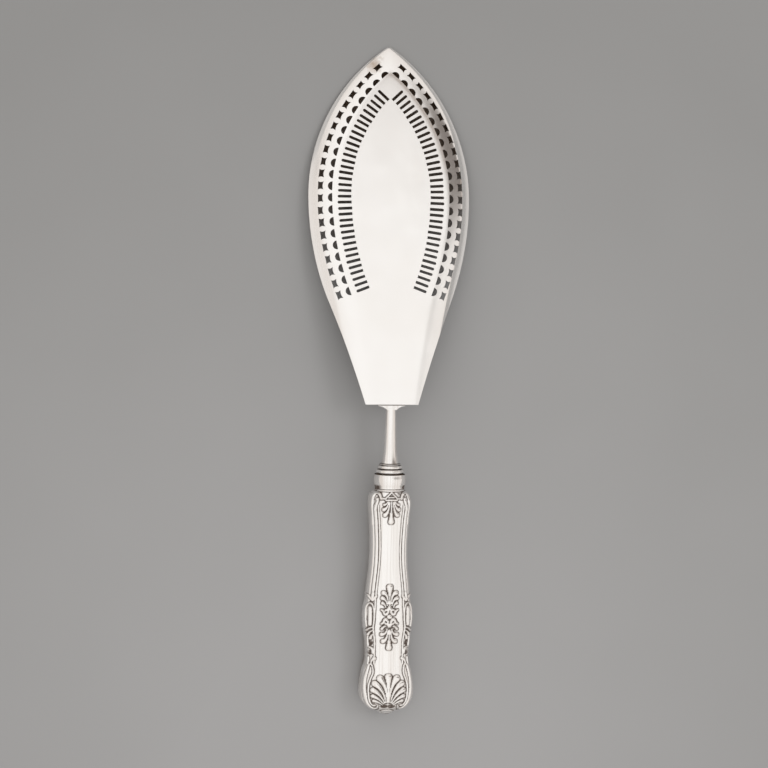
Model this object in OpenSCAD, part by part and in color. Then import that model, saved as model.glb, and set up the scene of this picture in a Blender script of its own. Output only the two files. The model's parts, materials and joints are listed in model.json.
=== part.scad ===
// Fish server: a dished and pierced silver blade on a cast stem, with a filled handle of two stamped shells.
// It lies on its open side, as it is put down: the tip of the blade and the end of the handle touch the table.
// Millimetres, +Y towards the tip, +Z up.

/* [Blade outline] */
// Length of the blade from its straight base edge to the tip
blade_length = 177; // [170:1:186]
// Width of the blade at its widest place
blade_width = 80; // [76:1:86]
// Distance of the widest place from the base edge
widest_at = 103; // [98:1:108]
// Radius of the side below the widest place
lower_radius = 145; // [138:1:156]
// Radius of the long hollow arc from there to the base edge
hollow_radius = 700; // [560:10:880]
// Width of the straight base edge
base_width = 26; // [24:0.5:30]
// Radius of the rounded tip
tip_radius = 2.5; // [2:0.25:3.5]

/* [Blade form] */
// Thickness of the silver sheet
sheet = 1.2; // [1:0.1:1.5]
// Bend radius of the turned-down rim
rim_radius = 8; // [7:0.5:9]
// Slope of the rim at its edge, in degrees
rim_slope = 75; // [70:1:80]
// Bend radius between the rim and the flat middle
shoulder_radius = 23; // [20:1:25]
// Slope, in degrees, at which the shoulder passes into the rim
shoulder_slope = 27; // [24:1:29]
// Small crease, in degrees, where the flat middle, shoulder, rim and sides meet
crease = 1.5; // [1:0.1:2]
// How much larger the radius of the formed side is than the radius it is cut to
tip_ease = 5; // [4:0.5:6]
// How far the formed side passes outside the corner of the base edge
base_ease = 10; // [9:0.5:11]
// Radius of the hollow arc of the formed side
form_hollow = 620; // [520:10:760]
// Radius of the long arc, seen from the side, to which the rim is filed
rocker_radius = 880; // [840:10:960]
// Depth of that arc below the flat middle at the widest place
rocker_depth = 8.25; // [8.1:0.05:8.6]

/* [Piercing] */
// Distance from one square to the next
square_pitch = 6.1; // [5.9:0.1:6.2]
// Distance of the last square below the widest place, along its row
squares_end = 50.5; // [46:0.5:53]
// Distance of the middle of the squares from the edge
square_inset = 5.3; // [5.1:0.1:5.6]
// Length of a square along its row
square_along = 4.2; // [3.6:0.1:4.4]
// Width of a square across its row
square_across = 2.6; // [2.2:0.1:2.8]
// Hollow of the sides of a square
square_hollow = 0.45; // [0.3:0.05:0.6]
// Distance of the straight side of the half-moons from the edge
moon_inset = 10.9; // [10.6:0.1:11.2]
// Radius of a half-moon
moon_radius = 2.15; // [1.9:0.05:2.3]
// Least distance from the middle line to the middle of a half-moon
moon_clearance = 2.2; // [1.8:0.1:2.4]
// Distance from one slot to the next, at their middle
slot_pitch = 2.91; // [2.8:0.01:3]
// Distance of the last slot below the widest place, along its row
slots_end = 47.6; // [44:0.2:50]
// Distance of the outer ends of the slots from the edge
slot_inset = 13.6; // [13.3:0.1:14.2]
// Length of a slot
slot_length = 6.8; // [6:0.1:7.4]
// Width of a slot
slot_width = 1.4; // [1.1:0.05:1.5]
// Least distance from the middle line to the inner end of a slot
slot_clearance = 1; // [0.9:0.05:1.1]

/* [Stem] */
// Angle between the flat middle of the blade and the axis of stem and handle
set_angle = 9.2; // [8:0.2:10.4]
// Radius of the stem where it leaves the blade
stem_radius = 2.4; // [2:0.05:2.6]
// Radius of the stem where its flare begins
flare_from = 3; // [2.8:0.1:3.3]
// Radius of the stem at the end of its flare
flare_to = 4.2; // [3.9:0.1:4.5]
// Length of the stem from the base edge to the start of its flare
stem_straight = 18.1; // [16:0.1:22]
// Length of the flare
flare_length = 10.5; // [9:0.5:12]
// Radius of the narrow, the middle and the wide ring of the bolster
ring_radius = [5.3, 6.1, 6.9];
// Height of the narrow, the middle and the wide ring of the bolster
ring_height = [0.7, 2, 2.2];
// Height of the joint between bolster and handle
joint_height = 0.4; // [0.3:0.05:0.5]
// Radius of the bolster in that joint
joint_radius = 5.9; // [5.6:0.1:6.1]
// Width of the heel plate at the base edge
heel_width = 13.4; // [12:0.2:15]
// Length of the heel plate under the blade
heel_length = 27; // [22:1:34]
// Thickness of the heel plate
heel_thickness = 1.8; // [1.4:0.1:2.2]
// How far the heel plate shows past the base edge
heel_show = 0.6; // [0.4:0.1:1.2]
// How far the wings of the heel plate run down the stem
wing_drop = 1.9; // [1.5:0.1:2.5]
// Length of the ridge that runs out under the heel plate
ridge_length = 16; // [12:1:20]
// Length of the tang inside the handle
tang_length = 72; // [50:1:90]
// Width of the tang at the bolster and at its end
tang_width = [6, 3];
// Thickness of the tang
tang_thickness = 3; // [2.4:0.1:3.6]

/* [Handle] */
// Length of the handle from its mouth to the middle of its end
handle_length = 118.9; // [112:0.1:124]
// Width of the collar at the mouth
collar_width = 15.7; // [15:0.1:16.4]
// Width of the neck under the collar
neck_width = 14.3; // [13.9:0.1:14.7]
// Width across the shoulders
shoulder_width = 20.6; // [19.6:0.2:21.6]
// Width of the waist
waist_width = 18.2; // [17:0.2:19]
// Width across the middle bulge
middle_width = 24.6; // [23.6:0.2:25.6]
// Width of the second waist
second_waist_width = 21.4; // [20.4:0.2:22.4]
// Width across the end
end_width = 26; // [25:0.2:27]
// Thickness at the shoulders, the waist, the middle bulge, the second waist and the end
thickness = [15.2, 13.2, 16.2, 14.8, 17.8];
// Wall of the stamped shells
shell_wall = 0.9; // [0.8:0.05:1.1]
// Height of the palmettes and the end shell above the plain surface
ornament_height = 0.75; // [0.6:0.05:0.9]
// Height of the threads along the sides
thread_height = 0.5; // [0.3:0.05:0.6]

/* [Hidden] */
$fn = 96;
// Facets of the long arcs
fine = 720;
// Reach of a cutting shape past what it cuts
past = 1;

function sq(v) = v * v;
function to_degrees(arc, radius) = arc / radius * 180 / PI;
function outward(t) = [cos(t), -sin(t)];
// Turn at which the lower side passes, with crease c, into a hollow arc of radius r that ends at point e
function joint_turn(r, e, c) =
    let (
        way = e - lower_centre,
        reach = sqrt(sq(lower_radius) + sq(r) + 2 * lower_radius * r * cos(c))
    )
    atan2(-way.y, way.x) - acos((sq(reach) + way * way - sq(r)) / (2 * reach * norm(way)))
    + atan2(r * sin(c), lower_radius + r * cos(c));
// Copies of a cut along a row that starts at the given end, up to the given turn above the widest place
function row_count(end, row_inset, turn, pitch) = 1 + floor((end + (upper_radius - row_inset) * turn * PI / 180) / pitch);
// Turn at which the point at the given inset comes as near to the middle line as the clearance
function turn_limit(row_inset, clearance) = acos((upper_radius - half_width + clearance) / (upper_radius - row_inset));

half_width = blade_width / 2;
half_base = base_width / 2;
tip_reach = blade_length - widest_at - tip_radius;
upper_radius = (sq(tip_reach) + sq(half_width) - sq(tip_radius)) / (2 * (half_width - tip_radius));
tip_turn = atan2(tip_reach, upper_radius - half_width);
tip_middle = widest_at + tip_reach;
tip_tangent = tip_middle + tip_radius * sin(tip_turn);
lower_centre = [half_width - lower_radius, widest_at];
lower_turn = joint_turn(hollow_radius, [half_base, 0], 0);
cut_joint = lower_centre + lower_radius * outward(lower_turn);
form_radius = upper_radius + tip_ease;
form_turn = joint_turn(form_hollow, [half_base + base_ease, 0], crease);
form_centre = lower_centre + lower_radius * outward(form_turn) + form_hollow * outward(form_turn - crease);
// Length along the side over which the lower and the hollow band lap
side_lap = 2 * sin(crease) / (1 / lower_radius + 1 / form_hollow);

// The rows end where the cuts of the two sides would come too close at the tip
squares = row_count(squares_end, square_inset, turn_limit(moon_inset, moon_clearance), square_pitch);
slots = row_count(
    slots_end,
    slot_inset + slot_length / 2,
    turn_limit(slot_inset + slot_length, slot_clearance),
    slot_pitch
);

// The section of the rim is drawn with x as the distance from the formed edge and y as the height
rim_end = rim_radius * [-sin(shoulder_slope + crease), cos(shoulder_slope + crease)];
shoulder_start = shoulder_radius * [-sin(shoulder_slope), cos(shoulder_slope)];
rim_x = rim_radius * sin(rim_slope);
shoulder_x = rim_x + rim_end.x - shoulder_start.x;
shoulder_z = -shoulder_radius * cos(crease);
rim_z = shoulder_z + shoulder_start.y - rim_end.y;
rim_lap = sin(crease) / (1 / rim_radius - 1 / shoulder_radius);
// Depth that holds every solid of the blade
deep = 2 * rocker_depth;

axis_drop = sheet + stem_radius;
bolster_from = stem_straight + flare_length;
ring_end = [for (i = [0:2]) bolster_from + [1, 1, 1] * [for (k = [0:2]) k <= i ? ring_height[k] : 0]];
mouth = ring_end[2] + joint_height;

// Stations of the handle: distance from the mouth as a share of the length, half width and half thickness
collar = collar_width / 2;
neck = neck_width / 2;
half = thickness / 2;
shoulder = shoulder_width / 2;
waist = waist_width / 2;
middle = middle_width / 2;
second_waist = second_waist_width / 2;
end = end_width / 2;
stations = [
    [0, 0.96 * collar, 0.96 * collar], [0.02, collar, collar], [0.038, 0.97 * collar, 0.97 * collar],
    [0.053, neck, neck], [0.066, 1.04 * neck, 1.03 * neck], [0.081, 0.9 * shoulder, 0.97 * half[0]],
    [0.12, shoulder, half[0]], [0.187, (shoulder + waist) / 2, (half[0] + half[1]) / 2],
    [0.292, waist, half[1]], [0.373, 1.03 * waist, 1.02 * half[1]],
    [0.467, 0.49 * (waist + middle), (half[1] + half[2]) / 2], [0.517, 0.895 * middle, 0.93 * half[2]],
    [0.55, 0.96 * middle, 0.965 * half[2]], [0.598, middle, half[2]],
    [0.655, 0.935 * middle, 0.975 * half[2]], [0.712, second_waist, 1.01 * half[3]],
    [0.77, 1.01 * second_waist, half[3]], [0.813, 0.91 * end, 0.89 * half[4]],
    [0.864, 0.977 * end, 0.965 * half[4]], [0.905, end, half[4]],
    [0.942, 0.923 * end, 0.93 * half[4]], [0.968, 0.72 * end, 0.76 * half[4]],
    [0.98, 0.46 * end, 0.55 * half[4]], [0.99, 0.27 * end, 0.37 * half[4]],
];
cap_from = stations[len(stations) - 1][0];

// Rows of the handle's surface, close together where the ornament is
row_marks = [
    [0, 0], [11, 0.098], [24, 0.208], [27, 0.292], [30, 0.449], [62, 0.742], [67, 0.83],
    [85, 0.99], [86, 0.9945], [87, 0.9985], [88, 1],
];
rows = row_marks[len(row_marks) - 1][0];
core_rows = [0, 6, 12, 24, 27, 30, 40, 50, 62, 67, 75, 81];
// The ornament is drawn in millimetres on a handle of this length, and grows with the handle
drawn_length = 118.9;
grain = handle_length / drawn_length;
// Columns across a half: the seam, the side, six threads, the panel, and the same again
thread_inset = [0.4, 1.6, 2.5, 3.3, 4, 4.6];
rib_shift = [0.5, 0.6, 0.6, 0.6, 0.9, 1.2];
thread_step = [0.3, -0.7, 1, -0.7, 0.6, -0.6];
// How far a stroke of the ornament fades out, in radii
soft_edge = 1.45;
// Half width at which the threads have their full insets
full_width = 8.5;
// Spacing of the leaves along the side, and how far they lag from thread to thread
leaf_pitch = 4.4;
leaf_lag = 0.28;
leaf_share = 0.7;
// Stretches of the side as [start, end, length of the fade], in shares of the length of the handle
neck_ends = [0.066, 0.106];
threads_stretch = [0.075, 0.985, 0.03];
bracket_stretch = [0.485, 0.53, 0.012];
ribs_stretch = [0.52, 0.67, 0.03];
leaves_stretch = [0.645, 0.79, 0.012];
// Share of the threads that the bracket above the ribs takes away
bracket_share = 0.75;
// Height of the side column as a share of the half thickness
side_height = 0.35;
edge_columns = len(thread_inset) + 1;
panel_columns = 12;
columns = 2 * edge_columns + panel_columns;
core_columns = columns / 2;

function slope(t, c, i) =
    i == 0 || i == len(t) - 1 ? 0 : (t[i + 1][c] - t[i - 1][c]) / (t[i + 1][0] - t[i - 1][0]);
function span(t, s, i = 0) = i == len(t) - 2 || s < t[i + 1][0] ? i : span(t, s, i + 1);
// Smooth curve through column c of the stations
function through(t, c, s) =
    let (
        i = span(t, s),
        d = t[i + 1][0] - t[i][0],
        u = (s - t[i][0]) / d,
        a = t[i][c],
        b = t[i + 1][c],
        m = slope(t, c, i) * d,
        n = slope(t, c, i + 1) * d
    )
    a + u * (m + u * (3 * (b - a) - 2 * m - n + u * (2 * (a - b) + m + n)));
// Half width (c = 1) and half thickness (c = 2) at share s of the length, round at the end cap
function size_at(c, s) =
    s < cap_from ? through(stations, c, s)
    : through(stations, c, cap_from) * sqrt(max(0, 1 - sq((s - cap_from) / (1 - cap_from))));
function ease(v) = let (u = min(1, max(0, v))) u * u * (3 - 2 * u);
// 1 along a stretch given as [start, end, length of its fade], and 0 outside it
function within(s, stretch) = ease((s - stretch[0]) / stretch[2]) * ease((stretch[1] - s) / stretch[2]);
// Power of the oval section: an ellipse at the collar, fuller below the neck
function squareness(s) = 2 + 0.6 * ease((s - neck_ends[0]) / (neck_ends[1] - neck_ends[0]));

// Soft round section of a stroke, with q as the distance from its middle in radii
function swell(q) = let (u = q / soft_edge) u < 1 ? sq(1 - u * u) : 0;
// A raised lobe that widens from r0 at its root to r1 at its round tip
function lobe(p, root, tip, r0, r1) =
    let (
        v = p - root,
        way = tip - root,
        t = min(1, max(0, v * way / (way * way)))
    )
    swell(norm(v - way * t) / (r0 + (r1 - r0) * t * t));
// Lobes from a hub to a list of [x, distance from the mouth, radius], the same on both sides of the middle line
function fan(m, hub, tips) =
    max([for (t = tips) lobe(m, [root_spread * t.x, hub], [t.x, t.y], root_radius, t.z)]);
function boss(p, middle, radius) = swell(norm(p - middle) / radius);
function curl(p, middle, radius, width) = swell(abs(norm(p - middle) - radius) / width);

// Radius of a lobe at its root, and how far the roots of a fan stand apart as a share of their tips
root_radius = 0.45;
root_spread = 0.2;
// Places of the ornament, as distances from the mouth on the drawn handle
top_hub = 12;
top_tips = [[0, 23, 1.3], [3, 20.4, 1.1], [3.5, 17.4, 1], [3.4, 15, 0.8]];
rising_hub = 65;
rising_tips = [[0, 55.9, 1.6], [3, 58.5, 1.15], [3.5, 61.1, 1.05], [3.6, 63.7, 0.9]];
falling_hub = 76;
falling_tips = [[0, 85.7, 1.35], [2.7, 82.5, 1.15], [3.5, 80, 1.05], [3.5, 77.3, 0.9]];
shell_hub = 113;
shell_tips = [
    [0, 100.3, 1.6], [4.1, 101, 1.4], [6.5, 103.3, 1.3], [7.6, 106.9, 1.15], [7.6, 109.9, 1], [6.9, 112.8, 0.85],
];
gable_top = 9;
gable_line = 11.6;
gable_reach = [2.8, 4.4];
line_radius = 0.6;
eye = [6.6, 12];
curl_radius = 2.2;
wave_tip = [4.3, 66.6];
wave_foot = [2, 69.1];
wave_radius = [0.7, 0.9, 0.6];
middle_boss = 70.5;
flower = [7, 91];
end_boss = 117;
// Radii of the small bosses: eye, middle, flower and end
boss_radius = [0.9, 1.3, 1.3, 2.4];

function wave(m) = max(
    lobe(m, [0, wave_tip.y], wave_foot, wave_radius[0], wave_radius[1]),
    lobe(m, wave_foot, wave_tip, wave_radius[1], wave_radius[2])
);
// Height of the palmettes, shell, bosses and scrolls at a point of the plan
function ornament(p) =
    let (m = [abs(p.x), p.y] / grain, n = [m.x, 2 * middle_boss - m.y])
    ornament_height * max(
        fan(m, shell_hub, shell_tips),
        fan(m, top_hub, top_tips),
        fan(m, rising_hub, rising_tips),
        fan(m, falling_hub, falling_tips),
        wave(m),
        wave(n),
        boss(m, [0, middle_boss], boss_radius[1]),
        lobe(m, [0, gable_line], [gable_reach[1], gable_line], line_radius, line_radius),
        lobe(m, [0, gable_top], [gable_reach[0], gable_line], line_radius, line_radius),
        curl(m, eye, curl_radius, boss_radius[0]),
        boss(m, eye, boss_radius[0]),
        boss(m, flower, boss_radius[2]),
        boss(m, [0, end_boss], boss_radius[3])
    );
// Height of the threads along the side, worked as leaves between the long ribs and the lower border
function threads(k, s) =
    k < 0 || k >= len(thread_step) ? 0
    : thread_height * thread_step[k] * within(s, threads_stretch) * (1 - bracket_share * within(s, bracket_stretch))
    + thread_height * leaf_share * within(s, leaves_stretch)
    * cos(360 * (s * drawn_length / leaf_pitch + k * leaf_lag));

// Distance from the edge of thread k, drawn in at the narrow end of the handle
function inset(k, s, w) =
    grain * (thread_inset[k] + rib_shift[k] * within(s, ribs_stretch)) * min(1, w / (full_width * grain));
// Point of a half at share s and column j, on a form that is smaller by back
function skin_point(s, j, back, raised) =
    let (
        w = size_at(1, s) - back,
        h = size_at(2, s) - back,
        n = squareness(s),
        k = min(j, columns - j),
        side = j < columns / 2 ? 1 : -1,
        panel = w - inset(len(thread_inset) - 1, s, w),
        x = k == 0 ? w
            : k == 1 ? w * pow(1 - pow(side_height, n), 1 / n)
            : k <= edge_columns ? w - inset(k - 2, s, w)
            : panel * (1 - 2 * (k - edge_columns) / panel_columns),
        z = k == 0 ? 0 : h * pow(max(0, 1 - pow(x / w, n)), 1 / n),
        way = [pow(x / w, n - 1) / w, pow(z / h, n - 1) / h],
        rise = raised && k > 0 ? threads(k - 2, s) + ornament([side * x, s * handle_length]) : 0,
        d = rise / norm(way)
    )
    [side * (x + d * way.x), -mouth - s * handle_length, z + d * way.y, rise];

outer_shares = [for (i = [0:rows - 1]) lookup(i, row_marks)];
outer_skin = [for (s = outer_shares, j = [0:columns]) skin_point(s, j, 0, true)];
outer_points = [for (p = outer_skin) [p.x, p.y, p.z]];
outer_pole = [0, -mouth - handle_length, 0];
core_skin = [for (i = core_rows, l = [0:core_columns]) skin_point(lookup(i, row_marks), 2 * l, shell_wall, false)];
core_points = [for (p = core_skin) [p.x, p.y, p.z]];
core_pole = outer_pole + [0, shell_wall, 0];

// Place of the first outer point, the outer pole, the first core point and the core pole in the shell's list
function outer_at(i, j) = i == rows ? rows * (columns + 1) : i * (columns + 1) + j;
function core_at(k, l) = rows * (columns + 1) + 1
    + (k == len(core_rows) ? len(core_rows) * (core_columns + 1) : k * (core_columns + 1) + l);
function row_of(k) = k == len(core_rows) ? rows : core_rows[k];
// Two triangles of a patch, or one where it ends in a pole
function patch(a, b, c, d, turned = false) =
    c == d ? [[a, c, b]] : turned ? [[a, c, b], [b, c, d]] : [[a, d, b], [a, c, d]];
function rise_at(i, j) = outer_skin[outer_at(i, j)][3];
// The diagonal of an outer patch joins the corners that are raised alike, and the two sides mirror each other
function is_turned(i, j) =
    let (
        fall = i + 1 == rows ? 0
            : abs(rise_at(i, j) - rise_at(i + 1, j + 1)) - abs(rise_at(i, j + 1) - rise_at(i + 1, j))
    )
    abs(fall) < 0.001 ? j >= columns / 2 : fall > 0;
function flat_list(v) = [for (part = v) for (item = part) item];

shell_faces = concat(
    flat_list([for (i = [0:rows - 1], j = [0:columns - 1])
        patch(
            outer_at(i, j),
            outer_at(i, j + 1),
            outer_at(i + 1, j),
            outer_at(i + 1, j + 1),
            is_turned(i, j)
        )]),
    flat_list([for (k = [0:len(core_rows) - 1], l = [0:core_columns - 1])
        [for (f = patch(core_at(k, l), core_at(k, l + 1), core_at(k + 1, l), core_at(k + 1, l + 1)))
            [f[2], f[1], f[0]]]]),
    // Seam faces on both sides
    flat_list([for (k = [0:len(core_rows) - 1]) concat(
        [for (i = [row_of(k):row_of(k + 1) - 1]) [core_at(k, 0), outer_at(i + 1, 0), outer_at(i, 0)]],
        [[core_at(k, 0), core_at(k + 1, 0), outer_at(row_of(k + 1), 0)]],
        [for (i = [row_of(k):row_of(k + 1) - 1])
            [core_at(k, core_columns), outer_at(i, columns), outer_at(i + 1, columns)]],
        [[core_at(k, core_columns), outer_at(row_of(k + 1), columns), core_at(k + 1, core_columns)]]
    )]),
    // Face at the mouth
    flat_list([for (l = [0:core_columns - 1]) [
        [core_at(0, l), outer_at(0, 2 * l), outer_at(0, 2 * l + 1)],
        [core_at(0, l), outer_at(0, 2 * l + 1), outer_at(0, 2 * l + 2)],
        [core_at(0, l), outer_at(0, 2 * l + 2), core_at(0, l + 1)],
    ]])
);

// The filling has the core points of both halves
under_points = [for (p = core_points) [p.x, p.y, -p.z]];
fill_side = len(core_points);
function over(k, l) = k == len(core_rows) ? 2 * fill_side : k * (core_columns + 1) + l;
function under(k, l) = l == 0 || l == core_columns || k == len(core_rows) ? over(k, l) : fill_side + over(k, l);
fill_faces = concat(
    flat_list([for (k = [0:len(core_rows) - 1], l = [0:core_columns - 1])
        patch(over(k, l), over(k, l + 1), over(k + 1, l), over(k + 1, l + 1))]),
    flat_list([for (k = [0:len(core_rows) - 1], l = [0:core_columns - 1])
        [for (f = patch(under(k, l), under(k, l + 1), under(k + 1, l), under(k + 1, l + 1)))
            [f[2], f[1], f[0]]]]),
    [concat([for (l = [0:core_columns]) over(0, l)], [for (l = [core_columns - 1:-1:1]) under(0, l)])]
);

// How the server lies: its line of rest runs from the tip to the lowest place of the handle
tip_foot = [blade_length, sq(blade_length - widest_at) / (2 * rocker_radius) - rocker_depth];
function to_blade(a, z) =
    [-a * cos(set_angle) - z * sin(set_angle), z * cos(set_angle) - a * sin(set_angle) - axis_drop];
pitch = max([for (p = outer_points)
    let (q = to_blade(-p.y, -p.z)) atan2(tip_foot.y - q.y, tip_foot.x - q.x)]);
lift = tip_foot.x * sin(pitch) - tip_foot.y * cos(pitch);
end_point = to_blade(mouth + handle_length, 0);
middle_y = ((tip_foot.x + end_point.x) * cos(pitch) + (tip_foot.y + end_point.y) * sin(pitch)) / 2;

// From the frame of the blade, flat middle on top at z = 0 and base edge at y = 0, to the server at rest
module laid_down() {
    translate([0, -middle_y, lift]) rotate([-pitch, 0, 0]) children();
}

// From the frame of the stem and handle, axis along -Y, to the frame of the blade
module on_axis() {
    translate([0, 0, -axis_drop]) rotate([set_angle, 0, 0]) children();
}

// Right half of the blade as it is cut from the sheet
module cut_outline() {
    intersection() {
        translate([half_width - upper_radius, widest_at]) circle(upper_radius, $fn = fine);
        translate([-past, widest_at]) square([half_width + past, tip_tangent - widest_at]);
    }
    intersection() {
        translate([half_width - lower_radius, widest_at]) circle(lower_radius, $fn = fine);
        translate([-past, cut_joint.y]) square([half_width + past, widest_at - cut_joint.y]);
    }
    difference() {
        translate([-past, 0]) square([half_width + past, cut_joint.y]);
        translate(cut_joint + hollow_radius * outward(lower_turn)) circle(hollow_radius, $fn = 4 * fine);
    }
    translate([0, tip_middle]) intersection() {
        circle(tip_radius);
        translate([-past, 0]) square(3 * tip_radius);
    }
}

// Everything under a skin of the blade that lies the given depth below its upper face, in section
module under_skin(depth) {
    intersection() {
        union() {
            translate([shoulder_x, shoulder_z]) circle(shoulder_radius - depth, $fn = fine);
            translate([shoulder_x, -2 * shoulder_radius]) square([half_width, 2 * shoulder_radius]);
        }
        union() {
            translate([rim_x, rim_z]) circle(rim_radius - depth, $fn = fine);
            translate([rim_x + rim_end.x + rim_lap, -deep]) square([half_width, 2 * deep]);
        }
        translate([-past, -deep]) square([half_width + 2 * past, deep - depth]);
    }
}

// Everything under a skin of the right half: its section follows the three arcs of the side
module under_half(depth) {
    lap_turn = to_degrees(side_lap / 2, form_hollow);
    base_turn = asin(-form_centre.y / (form_hollow + half_width));
    translate([half_width - form_radius, widest_at])
        rotate_extrude(angle = tip_turn + 4, $fn = fine)
            translate([form_radius, 0]) mirror([1, 0]) under_skin(depth);
    translate([half_width - lower_radius, widest_at])
        rotate_extrude(angle = form_turn + crease, start = -form_turn - crease, $fn = fine)
            translate([lower_radius, 0]) mirror([1, 0]) under_skin(depth);
    translate(form_centre)
        rotate_extrude(
            angle = form_turn - crease + lap_turn - base_turn + 1,
            start = 180 - form_turn + crease - lap_turn,
            $fn = 4 * fine
        ) translate([form_hollow, 0]) under_skin(depth);
}

// Puts a cut at arc distance along (below the widest place) on the row at the given inset, x pointing outwards
module on_row(along, row_inset) {
    radius = along < 0 ? upper_radius : lower_radius;
    translate([half_width - radius, widest_at])
        rotate(-to_degrees(along, radius - row_inset))
            translate([radius - row_inset, 0]) children();
}

// A circle that hollows the side of a square of the given length
module hollow(length) {
    radius = (sq(length / 2) + sq(square_hollow)) / (2 * square_hollow);
    translate([radius - square_hollow, 0]) circle(radius);
}

module cusped_square() {
    difference() {
        square([square_across, square_along], center = true);
        translate([-square_across / 2, 0]) rotate(180) hollow(square_along);
        for (side = [-1, 1]) translate([0, side * square_along / 2]) rotate(side * 90) hollow(square_across);
    }
}

module half_moon() {
    intersection() {
        circle(moon_radius);
        translate([0, -moon_radius]) square([moon_radius, 2 * moon_radius]);
    }
}

module slot() {
    translate([-slot_length, -slot_width / 2]) square([slot_length - slot_width / 2, slot_width]);
    translate([-slot_width / 2, 0]) circle(slot_width / 2);
}

// Piercings of the right side
module piercings() {
    for (i = [0:squares - 1]) {
        along = squares_end - i * square_pitch;
        on_row(along, square_inset) {
            cusped_square();
            translate([square_inset - moon_inset, 0]) half_moon();
        }
    }
    for (i = [0:slots - 1])
        on_row(slots_end - i * slot_pitch, slot_inset + slot_length / 2)
            translate([slot_length / 2, 0]) slot();
}

module both_sides() {
    children();
    mirror([1, 0, 0]) children();
}

module blade() {
    color([0.93, 0.92, 0.9]) laid_down() difference() {
        both_sides() intersection() {
            difference() {
                under_half(0);
                under_half(sheet);
            }
            translate([0, 0, -deep]) linear_extrude(2 * deep) intersection() {
                cut_outline();
                translate([0, -past]) square([blade_width, blade_length + 3 * past]);
            }
            translate([-past, widest_at, rocker_radius - rocker_depth]) rotate([0, 90, 0])
                cylinder(r = rocker_radius, h = blade_width, $fn = 4 * fine);
        }
        translate([0, 0, -deep]) linear_extrude(2 * deep) both_sides() piercings();
    }
}

// Half section of the stem, with x as the radius and y as the distance from the base edge
module stem_section() {
    flare_bend = (sq(flare_length) + sq(flare_to - flare_from)) / (2 * (flare_to - flare_from));
    polygon([
        [0, -ridge_length], [0.3, -ridge_length], [stem_radius, 0],
        [flare_from, stem_straight], [0, stem_straight],
    ]);
    difference() {
        translate([0, stem_straight]) square([flare_to, flare_length]);
        translate([flare_from + flare_bend, stem_straight]) circle(flare_bend, $fn = fine);
    }
    for (i = [0:2]) {
        round = ring_height[i] / 2;
        translate([0, ring_end[i] - ring_height[i]]) square([ring_radius[i] - round, ring_height[i]]);
        translate([ring_radius[i] - round, ring_end[i] - round]) circle(round);
    }
    translate([0, ring_end[2]]) square([joint_radius, joint_height]);
}

// Tang that the handle is cemented on
module tang() {
    linear_extrude(tang_thickness, center = true) polygon([
        [-tang_width[0] / 2, -mouth], [tang_width[0] / 2, -mouth],
        [tang_width[1] / 2, -mouth - tang_length], [-tang_width[1] / 2, -mouth - tang_length],
    ]);
}

// Plate soldered under the blade: a pointed arch, with small wings that run down to the stem
module heel_outline() {
    reach = heel_width / 2;
    arch = (sq(reach) + sq(heel_length)) / (2 * reach);
    wing_end = -heel_show - wing_drop;
    fillet = (sq(reach - stem_radius) + sq(wing_drop)) / (2 * wing_drop);
    intersection() {
        translate([reach - arch, 0]) circle(arch, $fn = fine);
        translate([arch - reach, 0]) circle(arch, $fn = fine);
        translate([-reach, 0]) square([2 * reach, heel_length + past]);
    }
    difference() {
        translate([-reach, wing_end]) square([2 * reach, -wing_end]);
        for (side = [-1, 1]) translate([side * reach, -heel_show - fillet]) circle(fillet, $fn = fine);
    }
}

module stem() {
    color([0.9, 0.89, 0.87]) laid_down() {
        difference() {
            on_axis() rotate([90, 0, 0]) rotate_extrude() stem_section();
            translate([-blade_width / 2, -heel_show, -sheet]) cube([blade_width, 3 * heel_length, deep]);
        }
        translate([0, 0, -sheet - heel_thickness]) linear_extrude(heel_thickness) heel_outline();
        on_axis() tang();
    }
}

module handle_shell() {
    polyhedron(concat(outer_points, [outer_pole], core_points, [core_pole]), shell_faces, convexity = 6);
}

module handle_front() {
    color([0.91, 0.9, 0.88]) laid_down() on_axis() handle_shell();
}

module handle_back() {
    color([0.86, 0.85, 0.83]) laid_down() on_axis() mirror([0, 0, 1]) handle_shell();
}

module handle_filling() {
    color([0.3, 0.22, 0.16]) laid_down() on_axis() difference() {
        polyhedron(concat(core_points, under_points, [core_pole]), fill_faces, convexity = 4);
        tang();
    }
}

blade();
stem();
handle_front();
handle_back();
handle_filling();
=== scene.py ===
# %% [markdown]
# # A silver fish server
# The server is an old piece of table silver: a broad pierced blade, hammered from sheet, on a cast stem,
# with a handle stamped in two thin halves and filled with cement. It lies dished side down, so we look at
# the back of the blade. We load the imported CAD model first: it says where everything is, and nothing here
# moves it.

# %% Load the frame
import json
import math
import random

import bpy
import numpy as np
from mathutils import Matrix, Vector

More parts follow.
